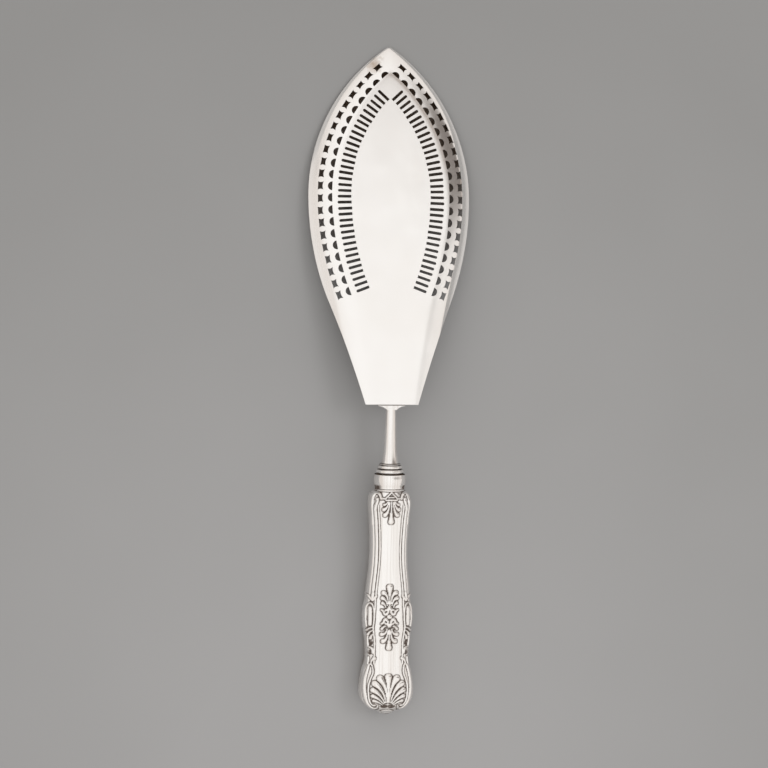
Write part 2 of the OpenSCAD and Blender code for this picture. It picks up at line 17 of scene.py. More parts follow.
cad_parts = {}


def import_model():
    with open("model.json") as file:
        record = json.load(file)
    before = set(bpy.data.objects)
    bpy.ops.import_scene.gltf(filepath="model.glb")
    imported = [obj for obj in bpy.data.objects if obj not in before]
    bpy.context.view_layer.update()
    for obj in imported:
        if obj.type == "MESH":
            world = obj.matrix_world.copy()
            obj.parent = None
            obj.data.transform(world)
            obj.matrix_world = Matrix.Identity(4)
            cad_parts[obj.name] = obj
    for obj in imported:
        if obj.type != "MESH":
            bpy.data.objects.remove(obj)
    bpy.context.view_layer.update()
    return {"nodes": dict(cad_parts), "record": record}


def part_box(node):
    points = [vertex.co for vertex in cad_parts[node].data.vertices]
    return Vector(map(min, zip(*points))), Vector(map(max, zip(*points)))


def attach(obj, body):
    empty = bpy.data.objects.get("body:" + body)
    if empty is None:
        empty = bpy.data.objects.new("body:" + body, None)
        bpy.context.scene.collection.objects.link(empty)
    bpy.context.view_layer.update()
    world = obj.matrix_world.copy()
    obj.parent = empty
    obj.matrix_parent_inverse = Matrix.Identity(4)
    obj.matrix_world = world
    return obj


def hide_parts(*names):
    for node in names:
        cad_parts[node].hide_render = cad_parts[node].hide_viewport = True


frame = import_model()
MM = 0.001
print("nodes:", sorted(frame["nodes"]))

# %% [markdown]
# The blade's flat middle is a stated interface of the part, so its place and its normal come with the frame.
# From them we get two useful frames: one on the flat of the blade, with its base edge at y = 0, and one on
# the axis of stem and handle. We model in millimetres in those, and turn each finished mesh into the row's
# metres.

# %% Frames of the blade and of the handle
flat_mount = next(m for m in frame["record"]["mounts"] if m["name"] == "blade_flat")
WIDEST = 103.0
PITCH = math.atan2(flat_mount["axis"][1], flat_mount["axis"][2])
SET_ANGLE = math.radians(9.2)
SHEET = 1.2
STEM_RADIUS = 2.4
AXIS_DROP = SHEET + STEM_RADIUS
MOUTH = 33.9

blade_to_row = (
    Matrix.Translation(Vector(flat_mount["pos_m"]))
    @ Matrix.Rotation(-PITCH, 4, "X")
    @ Matrix.Translation(Vector((0, -WIDEST * MM, 0)))
    @ Matrix.Scale(MM, 4)
)
axis_to_row = (
    blade_to_row
    @ Matrix.Translation(Vector((0, 0, -AXIS_DROP)))
    @ Matrix.Rotation(SET_ANGLE, 4, "X")
)
print("pitch of the blade:", round(math.degrees(PITCH), 2), "degrees")

# %% [markdown]
# Operators act on whatever is selected, and loading leaves the CAD nodes selected. A few small helpers keep
# that under control: they deselect everything, lay out a grid primitive by a rule, take steps in edit mode,
# and put a finished mesh in its place in the row's frame.

# %% Helpers for modelling
def deselect_all():
    bpy.ops.object.select_all(action="DESELECT")


def only(piece):
    deselect_all()
    piece.select_set(True)
    bpy.context.view_layer.objects.active = piece


def points_of(piece):
    flat = np.empty(len(piece.data.vertices) * 3)
    piece.data.vertices.foreach_get("co", flat)
    return flat.reshape(-1, 3)


def set_points(piece, points):
    piece.data.vertices.foreach_set("co", np.ascontiguousarray(points, float).ravel())
    piece.data.update()


def keep_with(piece, name, values):
    """Stores one number for each point with the mesh, for its material to read."""
    attribute = piece.data.attributes.new(name, "FLOAT", "POINT")
    attribute.data.foreach_set("value", values.astype(np.float32))


def laid_out_grid(name, columns, rows, place):
    """A grid primitive whose points move to place(u, v), u along its columns and v along its rows."""
    deselect_all()
    bpy.ops.mesh.primitive_grid_add(x_subdivisions=columns, y_subdivisions=rows, size=1)
    piece = bpy.context.object
    piece.name = name
    square = points_of(piece)
    set_points(piece, place(square[:, 0] + 0.5, square[:, 1] + 0.5))
    return piece


def apply_modifier(piece, kind, **settings):
    only(piece)
    modifier = piece.modifiers.new(kind.title(), kind)
    for name, value in settings.items():
        setattr(modifier, name, value)
    bpy.ops.object.modifier_apply(modifier=modifier.name)


def select_everything():
    bpy.ops.mesh.select_all(action="SELECT")


def face_outwards():
    select_everything()
    bpy.ops.mesh.normals_make_consistent(inside=False)


def extruded_down(depth):
    """A step that extrudes what is selected straight down."""
    return lambda: bpy.ops.mesh.extrude_region_move(TRANSFORM_OT_translate={"value": (0, 0, -depth)})


def in_edit_mode(piece, *steps):
    only(piece)
    bpy.ops.object.mode_set(mode="EDIT")
    for step in steps:
        step()
    bpy.ops.object.mode_set(mode="OBJECT")


def smooth(piece, degrees):
    only(piece)
    bpy.ops.object.shade_smooth_by_angle(angle=math.radians(degrees))


def place_in_row(piece, matrix):
    piece.data.transform(matrix)
    piece.data.update()

# %% [markdown]
# ## The outline of the blade
# The side of the blade is two arcs that meet at its widest place, one long hollow arc down to the base edge,
# and a small round tip. The rim was turned down along a slightly larger outline, so near the base and the
# tip only part of its depth is left. Both outlines come from the same few radii.

# %% Sizes of the blade
blade_low, blade_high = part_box("blade")
HALF_WIDTH = (blade_high.x - blade_low.x) / 2 / MM
LENGTH = 177.0
HALF_BASE = 13.0
TIP_RADIUS = 2.5
LOWER_RADIUS = 145.0
HOLLOW_RADIUS = 700.0
FORM_HOLLOW = 620.0
TIP_EASE = 5.0
BASE_EASE = 10.0
CREASE = math.radians(1.5)

tip_reach = LENGTH - WIDEST - TIP_RADIUS
UPPER_RADIUS = (tip_reach**2 + HALF_WIDTH**2 - TIP_RADIUS**2) / (2 * (HALF_WIDTH - TIP_RADIUS))
TIP_TURN = math.atan2(tip_reach, UPPER_RADIUS - HALF_WIDTH)
upper_centre = np.array([HALF_WIDTH - UPPER_RADIUS, WIDEST])
lower_centre = np.array([HALF_WIDTH - LOWER_RADIUS, WIDEST])


def outward(turn):
    return np.array([math.cos(turn), -math.sin(turn)])


def joint_turn(radius, end, crease):
    """Turn at which the lower side passes into a hollow arc of the given radius that ends at a point."""
    way = np.array(end) - lower_centre
    reach = math.sqrt(LOWER_RADIUS**2 + radius**2 + 2 * LOWER_RADIUS * radius * math.cos(crease))
    return (
        math.atan2(-way[1], way[0])
        - math.acos((reach**2 + way @ way - radius**2) / (2 * reach * np.hypot(*way)))
        + math.atan2(radius * math.sin(crease), LOWER_RADIUS + radius * math.cos(crease))
    )


LOWER_TURN = joint_turn(HOLLOW_RADIUS, (HALF_BASE, 0), 0)
FORM_TURN = joint_turn(FORM_HOLLOW, (HALF_BASE + BASE_EASE, 0), CREASE)
cut_centre = lower_centre + (LOWER_RADIUS + HOLLOW_RADIUS) * outward(LOWER_TURN)
form_centre = lower_centre + LOWER_RADIUS * outward(FORM_TURN) + FORM_HOLLOW * outward(FORM_TURN - CREASE)
CUT_JOINT_Y = WIDEST - LOWER_RADIUS * math.sin(LOWER_TURN)
print("half width", round(HALF_WIDTH, 2), "mm, the hollow arc starts at", round(CUT_JOINT_Y, 1), "mm")

# %% [markdown]
# ## The section of the rim
# Across its edge the sheet is flat, bends through a wide shoulder arc and goes down in a bevelled rim, whose
# upper edge catches the light as a thin line. Both skins of the sheet follow the same rule at their own
# depth, so one function gives the height of either. The rim is filed to one long rocker arc, seen from the
# side.

# %% Height of the sheet
RIM_RADIUS = 8.0
RIM_SLOPE = math.radians(75)
SHOULDER_RADIUS = 23.0
SHOULDER_SLOPE = math.radians(27)
ROCKER_RADIUS = 880.0
ROCKER_DEPTH = 8.25
RIDGE_SOFTENING = 1.3
SHOULDER_SOFTENING = 0.04
BEVEL_SLOPE = math.radians(46)
BEVEL_DEPTH = 6.75
BEVEL_SOFTENING = 0.13
BEVEL_END = 152.0
BEVEL_FADE = 36.0

rim_x = RIM_RADIUS * math.sin(RIM_SLOPE)
rim_end_x = rim_x - RIM_RADIUS * math.sin(SHOULDER_SLOPE + CREASE)
shoulder_x = rim_end_x + SHOULDER_RADIUS * math.sin(SHOULDER_SLOPE)
shoulder_z = -SHOULDER_RADIUS * math.cos(CREASE)
rim_z = (
    shoulder_z
    + SHOULDER_RADIUS * math.cos(SHOULDER_SLOPE)
    - RIM_RADIUS * math.cos(SHOULDER_SLOPE + CREASE)
)


def rocker(y):
    return ROCKER_RADIUS - ROCKER_DEPTH - np.sqrt(ROCKER_RADIUS**2 - (y - WIDEST) ** 2)


def ease(v):
    u = np.clip(v, 0, 1)
    return u * u * (3 - 2 * u)


def bevel_share(y):
    """The rim is bevelled along the broad part of the blade, and rounder towards the tip."""
    return ease((BEVEL_END - y) / BEVEL_FADE)


def form_inset(x, y):
    """Distance from the formed outline, with the ridge between the two sides softened at the middle."""
    x = np.abs(x)
    x = x + RIDGE_SOFTENING * np.exp(-x / RIDGE_SOFTENING)
    upper = UPPER_RADIUS + TIP_EASE - np.hypot(x - upper_centre[0] + TIP_EASE, y - WIDEST)
    lower = LOWER_RADIUS - np.hypot(x - lower_centre[0], y - WIDEST)
    closing = np.hypot(x - form_centre[0], y - form_centre[1]) - FORM_HOLLOW
    below = np.arctan2(WIDEST - y, x - lower_centre[0])
    return np.where(y >= WIDEST, upper, np.where(below < FORM_TURN, lower, closing))


def skin_height(x, y, depth):
    """Height of the skin that lies the given depth under the upper face of the sheet."""
    inset = form_inset(x, y)
    bevel = inset * math.tan(BEVEL_SLOPE) - BEVEL_DEPTH - depth / math.cos(BEVEL_SLOPE)
    rounded = np.sqrt(np.maximum(0, (RIM_RADIUS - depth) ** 2 - (inset - rim_x) ** 2)) + rim_z
    reach = np.minimum(inset, shoulder_x) - shoulder_x
    shoulder = np.sqrt(np.maximum(0, (SHOULDER_RADIUS - depth) ** 2 - reach**2)) + shoulder_z
    shoulder += np.maximum(0, inset - shoulder_x) * math.tan(CREASE)
    gap = (shoulder + depth) / SHOULDER_SOFTENING
    soft = -depth - SHOULDER_SOFTENING * np.log1p(np.exp(-np.clip(gap, -50, 50)))
    shoulder = np.where(gap < -50, shoulder, soft)
    over = np.clip((shoulder - bevel) / BEVEL_SOFTENING, -50, 50)
    bevelled = shoulder - BEVEL_SOFTENING * np.log1p(np.exp(over))
    rounded = np.where(inset < rim_end_x, np.minimum(rounded, shoulder), shoulder)
    height = rounded + bevel_share(y) * (bevelled - rounded)
    return np.maximum(height, rocker(y))


print("rim depth at the widest place:", round(float(-skin_height(HALF_WIDTH, WIDEST, 0)), 2), "mm")

# %% [markdown]
# ## The flat sheet
# A smith cuts and pierces the sheet while it is flat. We do the same: a grid is laid along one side of the
# outline, closest where the rim will bend, mirrored, closed in the middle with one flat face, and extruded
# to a plate. The bends come last, so every hole keeps clean straight walls.

# %% Cut the flat plate
ALONG, ACROSS = 330, 34
RIBBON_WIDTH = 21.6
BASE_RIBBON_WIDTH = 6.0
EDGE_CROWDING = 1.6
PLATE = 1.0
BASE_SHARE, LOWER_SHARE = 0.25, 0.29
UPPER_SHARE = 1 - BASE_SHARE - LOWER_SHARE
INNER_MARGIN = 0.6
AT_BASE = 0.001


def edge_start(x, y):
    """How far inside the outline the rim's outer face meets the filed rocker line."""
    rise = np.clip((rocker(y) - rim_z) / RIM_RADIUS, 0, 1)
    rounded = rim_x - RIM_RADIUS * np.sqrt(1 - rise**2)
    bevelled = (rocker(y) + BEVEL_DEPTH) / math.tan(BEVEL_SLOPE)
    reach = rounded + bevel_share(y) * (bevelled - rounded)
    return np.maximum(0, reach - form_inset(x, y))


def along_upper(t, across):
    start_turn = math.atan2(LENGTH - WIDEST, -upper_centre[0])
    turn = t * start_turn
    over = np.maximum(0, turn - TIP_TURN)
    reach = UPPER_RADIUS - TIP_RADIUS
    tip = reach * np.cos(over) + np.sqrt(np.maximum(0, TIP_RADIUS**2 - (reach * np.sin(over)) ** 2))
    trim = np.where(over > 0, UPPER_RADIUS - tip, 0)
    edge_x = upper_centre[0] + (UPPER_RADIUS - trim) * np.cos(turn)
    edge_y = WIDEST + (UPPER_RADIUS - trim) * np.sin(turn)
    trim = trim + edge_start(edge_x, edge_y)
    radius = UPPER_RADIUS - trim - across * (RIBBON_WIDTH - trim)
    turn = t * np.arccos(np.clip(-upper_centre[0] / radius, -1, 1))
    return upper_centre[0] + radius * np.cos(turn), WIDEST + radius * np.sin(turn)


def along_lower(t, across):
    turn = (1 - t) * LOWER_TURN
    edge_x = lower_centre[0] + LOWER_RADIUS * np.cos(turn)
    edge_y = WIDEST - LOWER_RADIUS * np.sin(turn)
    trim = edge_start(edge_x, edge_y)
    radius = LOWER_RADIUS - trim - across * (RIBBON_WIDTH - trim)
    return lower_centre[0] + radius * np.cos(turn), WIDEST - radius * np.sin(turn)


def along_base(t, across):
    y = t * CUT_JOINT_Y
    x = cut_centre[0] - np.sqrt(HOLLOW_RADIUS**2 - (y - cut_centre[1]) ** 2)
    trim = edge_start(x, y)
    width = BASE_RIBBON_WIDTH + (RIBBON_WIDTH - BASE_RIBBON_WIDTH) * t**1.5
    inset = trim + across * (width - trim)
    turn = LOWER_TURN * t
    return x - inset * np.cos(turn), y + inset * np.sin(turn)


def side_ribbon(u, v):
    """The three stretches of one side, end to end along u, from the edge inwards along v."""
    across = v**EDGE_CROWDING
    parts = [
        along_base(np.clip(u / BASE_SHARE, 0, 1), across),
        along_lower(np.clip((u - BASE_SHARE) / LOWER_SHARE, 0, 1), across),
        along_upper(np.clip((u - BASE_SHARE - LOWER_SHARE) / UPPER_SHARE, 0, 1), across),
    ]
    which = np.where(u < BASE_SHARE, 0, np.where(u < BASE_SHARE + LOWER_SHARE, 1, 2))
    x = np.choose(which, [p[0] for p in parts])
    y = np.choose(which, [p[1] for p in parts])
    return np.column_stack([np.where(np.abs(x) < 1e-6, 0, x), y, np.zeros_like(x)])


def fill_middle(piece):
    """Selects the inner border of the ribbon, closes it with one face and extrudes the plate."""
    mesh = piece.data
    points = points_of(piece)
    sides = {}
    for polygon in mesh.polygons:
        for key in polygon.edge_keys:
            sides[key] = sides.get(key, 0) + 1
    inner = shoulder_x + INNER_MARGIN
    for edge in mesh.edges:
        middle = points[list(edge.vertices)].mean(axis=0)
        edge.select = bool(
            sides[edge.key] == 1
            and form_inset(middle[0], middle[1]) > inner
            and middle[1] > AT_BASE
        )
    in_edit_mode(
        piece,
        lambda: bpy.ops.mesh.select_mode(type="EDGE"),
        bpy.ops.mesh.edge_face_add, face_outwards, extruded_down(PLATE), face_outwards,
    )


blade = laid_out_grid("blade_skin", ALONG, ACROSS, side_ribbon)
apply_modifier(blade, "MIRROR", use_axis=(True, False, False), merge_threshold=0.0005)
in_edit_mode(blade, lambda: bpy.ops.mesh.select_all(action="DESELECT"))
fill_middle(blade)
print("plate:", len(blade.data.polygons), "faces")

# %% [markdown]
# ## The piercing
# Three rows of openings follow the edge: cusped squares, half-moons and long slots. Each shape is drawn
# once, as a filled circle whose points are moved onto its outline, and extruded to a stamp. The rows are
# stepped off by arc length with a loop. The originals were sawn by hand, so each opening is allowed to
# wander very slightly.

# %% Stamps for the openings
SQUARES, SQUARE_PITCH, SQUARES_END, SQUARE_INSET = 21, 6.1, 50.5, 5.3
SQUARE_ALONG, SQUARE_ACROSS, SQUARE_HOLLOW, OUTER_HOLLOW = 4.2, 2.6, 0.45, 0.08
MOON_INSET, MOON_RADIUS = 10.9, 2.15
SLOTS, SLOT_PITCH, SLOTS_END, SLOT_INSET = 36, 2.91, 47.6, 13.6
SLOT_LENGTH, SLOT_WIDTH = 6.8, 1.4
SQUARE_WANDER, MOON_WANDER, SLOT_WANDER = 0.12, 0.08, 0.1
PUNCH_PAST = 2


def hollow_side(start, end, depth, count=8):
    """Points from start towards end along a shallow arc that bows to the left by depth."""
    t = np.linspace(0, 1, count, endpoint=False)[:, None]
    chord = np.array(end) - np.array(start)
    left = np.array([-chord[1], chord[0]]) / np.hypot(*chord)
    return np.array(start) + t * chord + 4 * depth * t * (1 - t) * left


def square_outline():
    a, b = SQUARE_ACROSS / 2, SQUARE_ALONG / 2
    corners = [(a, -b), (a, b), (-a, b), (-a, -b), (a, -b)]
    depths = (OUTER_HOLLOW, SQUARE_HOLLOW, SQUARE_HOLLOW, SQUARE_HOLLOW)
    return np.concatenate([hollow_side(*side) for side in zip(corners, corners[1:], depths)])


def half_circle(count):
    turn = np.linspace(-math.pi / 2, math.pi / 2, count)
    return np.column_stack([np.cos(turn), np.sin(turn)])


def slot_outline():
    round_end = SLOT_WIDTH / 2 * half_circle(11)
    round_end[:, 0] += SLOT_LENGTH / 2 - SLOT_WIDTH / 2
    square_end = np.array([[-SLOT_LENGTH / 2, SLOT_WIDTH / 2], [-SLOT_LENGTH / 2, -SLOT_WIDTH / 2]])
    return np.concatenate([round_end, square_end])


def stamp(name, outline):
    """A punch with the given outline, from above the plate to below it."""
    deselect_all()
    bpy.ops.mesh.primitive_circle_add(vertices=len(outline), radius=1, fill_type="NGON")
    piece = bpy.context.object
    piece.name = name
    circle = points_of(piece)
    order = np.argsort(np.arctan2(circle[:, 1], circle[:, 0]))
    start = np.argmin(np.arctan2(outline[:, 1], outline[:, 0]))
    corners = np.roll(outline, -start, axis=0)
    points = np.zeros_like(circle)
    points[order, :2] = corners
    points[:, 2] = 1
    set_points(piece, points)
    in_edit_mode(piece, select_everything, extruded_down(PLATE + PUNCH_PAST), face_outwards)
    return piece


square_stamp = stamp("square_stamp", square_outline())
moon_stamp = stamp("moon_stamp", MOON_RADIUS * half_circle(19))
slot_stamp = stamp("slot_stamp", slot_outline())

# %% Step the rows off and cut them
hand = random.Random(7)


def on_row(along, inset, wander):
    """Matrix that puts a stamp on its row, its x axis pointing outwards."""
    radius = UPPER_RADIUS if along < 0 else LOWER_RADIUS
    turn = -along / (radius - inset)
    turn += hand.uniform(-wander, wander) / (radius - inset)
    reach = radius - inset + hand.uniform(-wander, wander)
    centre = Vector((HALF_WIDTH - radius, WIDEST, 0))
    spot = centre + Vector((reach * math.cos(turn), reach * math.sin(turn), 0))
    size = 1 + hand.uniform(-wander, wander) / 3
    return Matrix.Translation(spot) @ Matrix.Rotation(turn, 4, "Z") @ Matrix.Diagonal((size, size, 1, 1))


def cut_copies(source, matrices):
    copies = []
    for matrix in matrices:
        for side in (1, -1):
            copy = source.copy()
            copy.data = source.data.copy()
            bpy.context.collection.objects.link(copy)
            copy.data.transform(Matrix.Diagonal((side, 1, 1, 1)) @ matrix)
            if side < 0:
                copy.data.flip_normals()
            copies.append(copy)
    return copies


square_places = [SQUARES_END - i * SQUARE_PITCH for i in range(SQUARES)]
slot_places = [SLOTS_END - i * SLOT_PITCH for i in range(SLOTS)]
inwards = Matrix.Translation((SQUARE_INSET - MOON_INSET, 0, 0))
squares = [on_row(along, SQUARE_INSET, SQUARE_WANDER) for along in square_places]
moons = [on_row(along, SQUARE_INSET, MOON_WANDER) @ inwards for along in square_places]
slots = [on_row(along, SLOT_INSET + SLOT_LENGTH / 2, SLOT_WANDER) for along in slot_places]
stamps = (
    cut_copies(square_stamp, squares) + cut_copies(moon_stamp, moons) + cut_copies(slot_stamp, slots)
)
deselect_all()
for piece in stamps:
    piece.select_set(True)
bpy.context.view_layer.objects.active = stamps[0]
bpy.ops.object.join()
all_stamps = bpy.context.object
apply_modifier(blade, "BOOLEAN", operation="DIFFERENCE", object=all_stamps, solver="EXACT")
for piece in (all_stamps, square_stamp, moon_stamp, slot_stamp):
    bpy.data.objects.remove(piece)
print("pierced plate:", len(blade.data.polygons), "faces")

# %% [markdown]
# ## Bending the blade
# Now the plate is dished. Each point of its upper face goes to the height of the upper skin, each point of
# its lower face to that of the lower skin. Their places in plan stay, as they were measured on the finished
# object.

# %% Bend the plate
WORN_EDGE = 2.6
flat = points_of(blade)
upper_face = flat[:, 2] > -PLATE / 2
across, along = flat[:, 0], flat[:, 1]
heights = skin_height(across, along, np.where(upper_face, 0.0, SHEET))
set_points(blade, np.column_stack([across, along, heights]))
worn = np.clip(1 - form_inset(across, along) / WORN_EDGE, 0, 1)
# The lower face is marked so that the finish paints it dark as shade.
keep_with(blade, "underside", ~upper_face)
keep_with(blade, "worn_edge", worn)
place_in_row(blade, blade_to_row)
smooth(blade, 35)
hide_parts("blade")
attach(blade, "root")
print("blade:", len(blade.data.polygons), "faces,", [round(x, 4) for x in blade.dimensions])

# %% [markdown]
# ## The stem
# The stem was cast and then turned: a plain taper, a short flare and a bolster of three rings. A profile
# that is spun round the axis gives exactly what the lathe does. The heel plate is cut from its outline and
# joined to it.

# %% Spin the stem
STRAIGHT, FLARE = 18.1, 10.5
FLARE_FROM, FLARE_TO = 3.0, 4.2
RINGS = [(5.3, 0.7), (6.1, 2.0), (6.9, 2.2)]
JOINT_RADIUS, JOINT_HEIGHT = 5.9, 0.4
RIDGE_LENGTH = 16.0


def stem_profile():
    """Radius and distance from the base edge, from the point of the ridge to the joint with the handle."""
    points = [(0.0, -RIDGE_LENGTH), (0.3, -RIDGE_LENGTH), (STEM_RADIUS, 0.0), (FLARE_FROM, STRAIGHT)]
    rise = FLARE_TO - FLARE_FROM
    bend = (FLARE**2 + rise**2) / (2 * rise)
    for t in np.linspace(0.1, 1, 10):
        along = FLARE * t
        points.append((FLARE_FROM + bend - math.sqrt(bend**2 - along**2), STRAIGHT + along))
    at = STRAIGHT + FLARE
    for radius, height in RINGS:
        half = height / 2
        for turn in np.linspace(-math.pi / 2, math.pi / 2, 9):
            points.append((radius - half + half * math.cos(turn), at + half + half * math.sin(turn)))
        at += height
    points += [(JOINT_RADIUS, at), (JOINT_RADIUS, at + JOINT_HEIGHT), (0.0, at + JOINT_HEIGHT)]
    return np.array(points)


def drawn(name, points, edges, faces):
    mesh = bpy.data.meshes.new(name)
    mesh.from_pydata(points, edges, faces)
    piece = bpy.data.objects.new(name, mesh)
    bpy.context.collection.objects.link(piece)
    return piece


def spun(name, profile, steps=72):
    """Spins a profile of radius and distance round the axis that runs towards -Y."""
    edges = [(i, i + 1) for i in range(len(profile) - 1)]
    piece = drawn(name, [(r, -a, 0) for r, a in profile], edges, [])
    in_edit_mode(
        piece,
        select_everything,
        lambda: bpy.ops.mesh.spin(steps=steps, angle=2 * math.pi, center=(0, 0, 0), axis=(0, 1, 0)),
        select_everything,
        lambda: bpy.ops.mesh.remove_doubles(threshold=0.0001),
        face_outwards,
    )
    return piece


stem = spun("stem_turned", stem_profile())
place_in_row(stem, axis_to_row)
print("stem:", len(stem.data.polygons), "faces")

# %% Heel plate
HEEL_WIDTH, HEEL_LENGTH, HEEL_THICKNESS = 13.4, 27.0, 1.8
HEEL_SHOW, WING_DROP = 0.6, 1.9


def heel_outline():
    """Pointed arch under the blade, and small wings that run down to the stem."""
    reach = HEEL_WIDTH / 2
    arch = (reach**2 + HEEL_LENGTH**2) / (2 * reach)
    right = [(reach - arch + math.sqrt(arch**2 - y**2), y) for y in np.linspace(0, HEEL_LENGTH, 16)]
    fillet = ((reach - STEM_RADIUS) ** 2 + WING_DROP**2) / (2 * WING_DROP)
    wing = [
        (x, -HEEL_SHOW - fillet + math.sqrt(fillet**2 - (reach - x) ** 2))
        for x in np.linspace(reach, STEM_RADIUS, 9)
    ]
    half = wing[::-1] + right
    return np.array(half + [(-x, y) for x, y in half[::-1][1:]])


outline = heel_outline()
heel = drawn("heel_plate", [(x, y, -SHEET) for x, y in outline], [], [tuple(range(len(outline)))])
in_edit_mode(heel, select_everything, extruded_down(HEEL_THICKNESS), face_outwards)
place_in_row(heel, blade_to_row)
above_plate = blade_to_row @ Vector((0, -HEEL_SHOW, -SHEET))
plate_normal = (blade_to_row.to_3x3() @ Vector((0, 0, 1))).normalized()
in_edit_mode(
    stem,
    select_everything,
    lambda: bpy.ops.mesh.bisect(
        plane_co=above_plate, plane_no=plate_normal, use_fill=True, clear_outer=True, threshold=1e-6
    ),
)
apply_modifier(stem, "BOOLEAN", operation="UNION", object=heel, solver="EXACT")
bpy.data.objects.remove(heel)
smooth(stem, 30)
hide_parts("stem")
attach(stem, "root")
print("stem with heel:", len(stem.data.polygons), "faces")

# %% [markdown]
# ## The form of the handle
# Each half of the handle is a stamped shell. Under its ornament lies a plain oval form that swells and
# narrows along its length. We keep its half width and half thickness at a few stations, and join them with
# smooth curves.

# %% Plain form of the handle
HANDLE_LENGTH = 118.9
COLLAR, NECK, SHOULDER, WAIST, MIDDLE, SECOND_WAIST, END = 7.85, 7.15, 10.3, 9.1, 12.3, 10.7, 13.0
H_SHOULDER, H_WAIST, H_MIDDLE, H_SECOND, H_END = 7.6, 6.6, 8.1, 7.4, 8.9
STATIONS = np.array([
    (0, 0.96 * COLLAR, 0.96 * COLLAR),
    (0.02, COLLAR, COLLAR),
    (0.038, 0.97 * COLLAR, 0.97 * COLLAR),
    (0.053, NECK, NECK),
    (0.066, 1.04 * NECK, 1.03 * NECK),
    (0.081, 0.9 * SHOULDER, 0.97 * H_SHOULDER),
    (0.12, SHOULDER, H_SHOULDER),
    (0.187, (SHOULDER + WAIST) / 2, (H_SHOULDER + H_WAIST) / 2),
    (0.292, WAIST, H_WAIST),
    (0.373, 1.03 * WAIST, 1.02 * H_WAIST),
    (0.467, 0.49 * (WAIST + MIDDLE), (H_WAIST + H_MIDDLE) / 2),
    (0.517, 0.895 * MIDDLE, 0.93 * H_MIDDLE),
    (0.55, 0.96 * MIDDLE, 0.965 * H_MIDDLE),
    (0.598, MIDDLE, H_MIDDLE),
    (0.655, 0.935 * MIDDLE, 0.975 * H_MIDDLE),
    (0.712, SECOND_WAIST, 1.01 * H_SECOND),
    (0.77, 1.01 * SECOND_WAIST, H_SECOND),
    (0.813, 0.91 * END, 0.89 * H_END),
    (0.864, 0.977 * END, 0.965 * H_END),
    (0.905, END, H_END),
    (0.942, 0.923 * END, 0.93 * H_END),
    (0.968, 0.72 * END, 0.76 * H_END),
    (0.98, 0.46 * END, 0.55 * H_END),
    (0.99, 0.27 * END, 0.37 * H_END),
])
CAP_FROM = STATIONS[-1, 0]


def through_stations(column, share):
    """Smooth curve through one column of the stations, with the slope of the neighbours at each."""
    at, values = STATIONS[:, 0], STATIONS[:, column]
    slopes = np.zeros_like(values)
    slopes[1:-1] = (values[2:] - values[:-2]) / (at[2:] - at[:-2])
    i = np.clip(np.searchsorted(at, share, side="right") - 1, 0, len(at) - 2)
    gap = at[i + 1] - at[i]
    u = (share - at[i]) / gap
    a, b, m, n = values[i], values[i + 1], slopes[i] * gap, slopes[i + 1] * gap
    return a + u * (m + u * (3 * (b - a) - 2 * m - n + u * (2 * (a - b) + m + n)))


def size_at(column, share):
    cap = np.sqrt(np.maximum(0, 1 - ((np.maximum(share, CAP_FROM) - CAP_FROM) / (1 - CAP_FROM)) ** 2))
    inner = through_stations(column, np.minimum(share, CAP_FROM))
    return np.where(share < CAP_FROM, inner, STATIONS[-1, column] * cap)


def window(at, start, end, edge):
    """1 between start and end, with a soft rise and fall."""
    return ease((at - start) / edge) * ease((end - at) / edge)


print("stations of the handle:", len(STATIONS))

# %% [markdown]
# ## The ornament
# The relief is built from a few strokes that a die sinker would also use: a round bar along a line, a petal
# that swells towards its end, and a boss. Each returns a height from 0 to 1 over the plan of the handle, and
# the highest one wins at every point. All places are millimetres from the middle line and from the mouth.

# %% Strokes of the relief
def dome(q):
    return np.sqrt(np.clip(1 - q * q, 0, 1))


def stroke(x, s, path, radii):
    """A round bar along a path, whose radius changes from point to point."""
    height = np.zeros_like(x)
    reach = max(radii)
    low, high = path.min(axis=0) - reach, path.max(axis=0) + reach
    near = (x > low[0]) & (x < high[0]) & (s > low[1]) & (s < high[1])
    px, ps = x[near], s[near]
    best = np.ones_like(px)
    for a, b, start, end in zip(path, path[1:], radii, radii[1:]):
        way = b - a
        t = np.clip(((px - a[0]) * way[0] + (ps - a[1]) * way[1]) / (way @ way), 0, 1)
        away = np.hypot(px - a[0] - t * way[0], ps - a[1] - t * way[1])
        best = np.minimum(best, away / (start + (end - start) * t))
    height[near] = dome(best)
    return height


def petal(x, s, root, bend, tip, radius, root_radius=0.3, grow=1.6):
    """A petal from its root, past a bend, to its round end."""
    t = np.linspace(0, 1, 13)[:, None]
    path = (1 - t) ** 2 * np.array(root) + 2 * t * (1 - t) * np.array(bend) + t**2 * np.array(tip)
    return stroke(x, s, path, root_radius + (radius - root_radius) * t[:, 0] ** grow)


def line(x, s, points, width, width_end=None):
    """A bar of even or slowly changing width along a smooth curve through a few points."""
    path = curve(points) if len(points) > 2 else np.array(points, float)
    return stroke(x, s, path, np.linspace(width, width_end or width, len(path)))


def boss(x, s, middle, radius_x, radius_s=None):
    radius_s = radius_s or radius_x
    return dome(np.hypot((x - middle[0]) / radius_x, (s - middle[1]) / radius_s))


def curve(points, count=28):
    """Points of a smooth curve through a few chosen ones."""
    points = np.array(points, float)
    steps = np.linspace(0, len(points) - 1, count)
    padded = np.vstack([2 * points[0] - points[1], points, 2 * points[-1] - points[-2]])
    i = np.minimum(steps.astype(int), len(points) - 2)
    u = (steps - i)[:, None]
    a, b, c, d = padded[i], padded[i + 1], padded[i + 2], padded[i + 3]
    return 0.5 * (2 * b + (c - a) * u + (2 * a - 5 * b + 4 * c - d) * u**2 + (3 * b - a - 3 * c + d) * u**3)


def highest(*layers):
    result = layers[0]
    for layer in layers[1:]:
        result = np.maximum(result, layer)
    return result


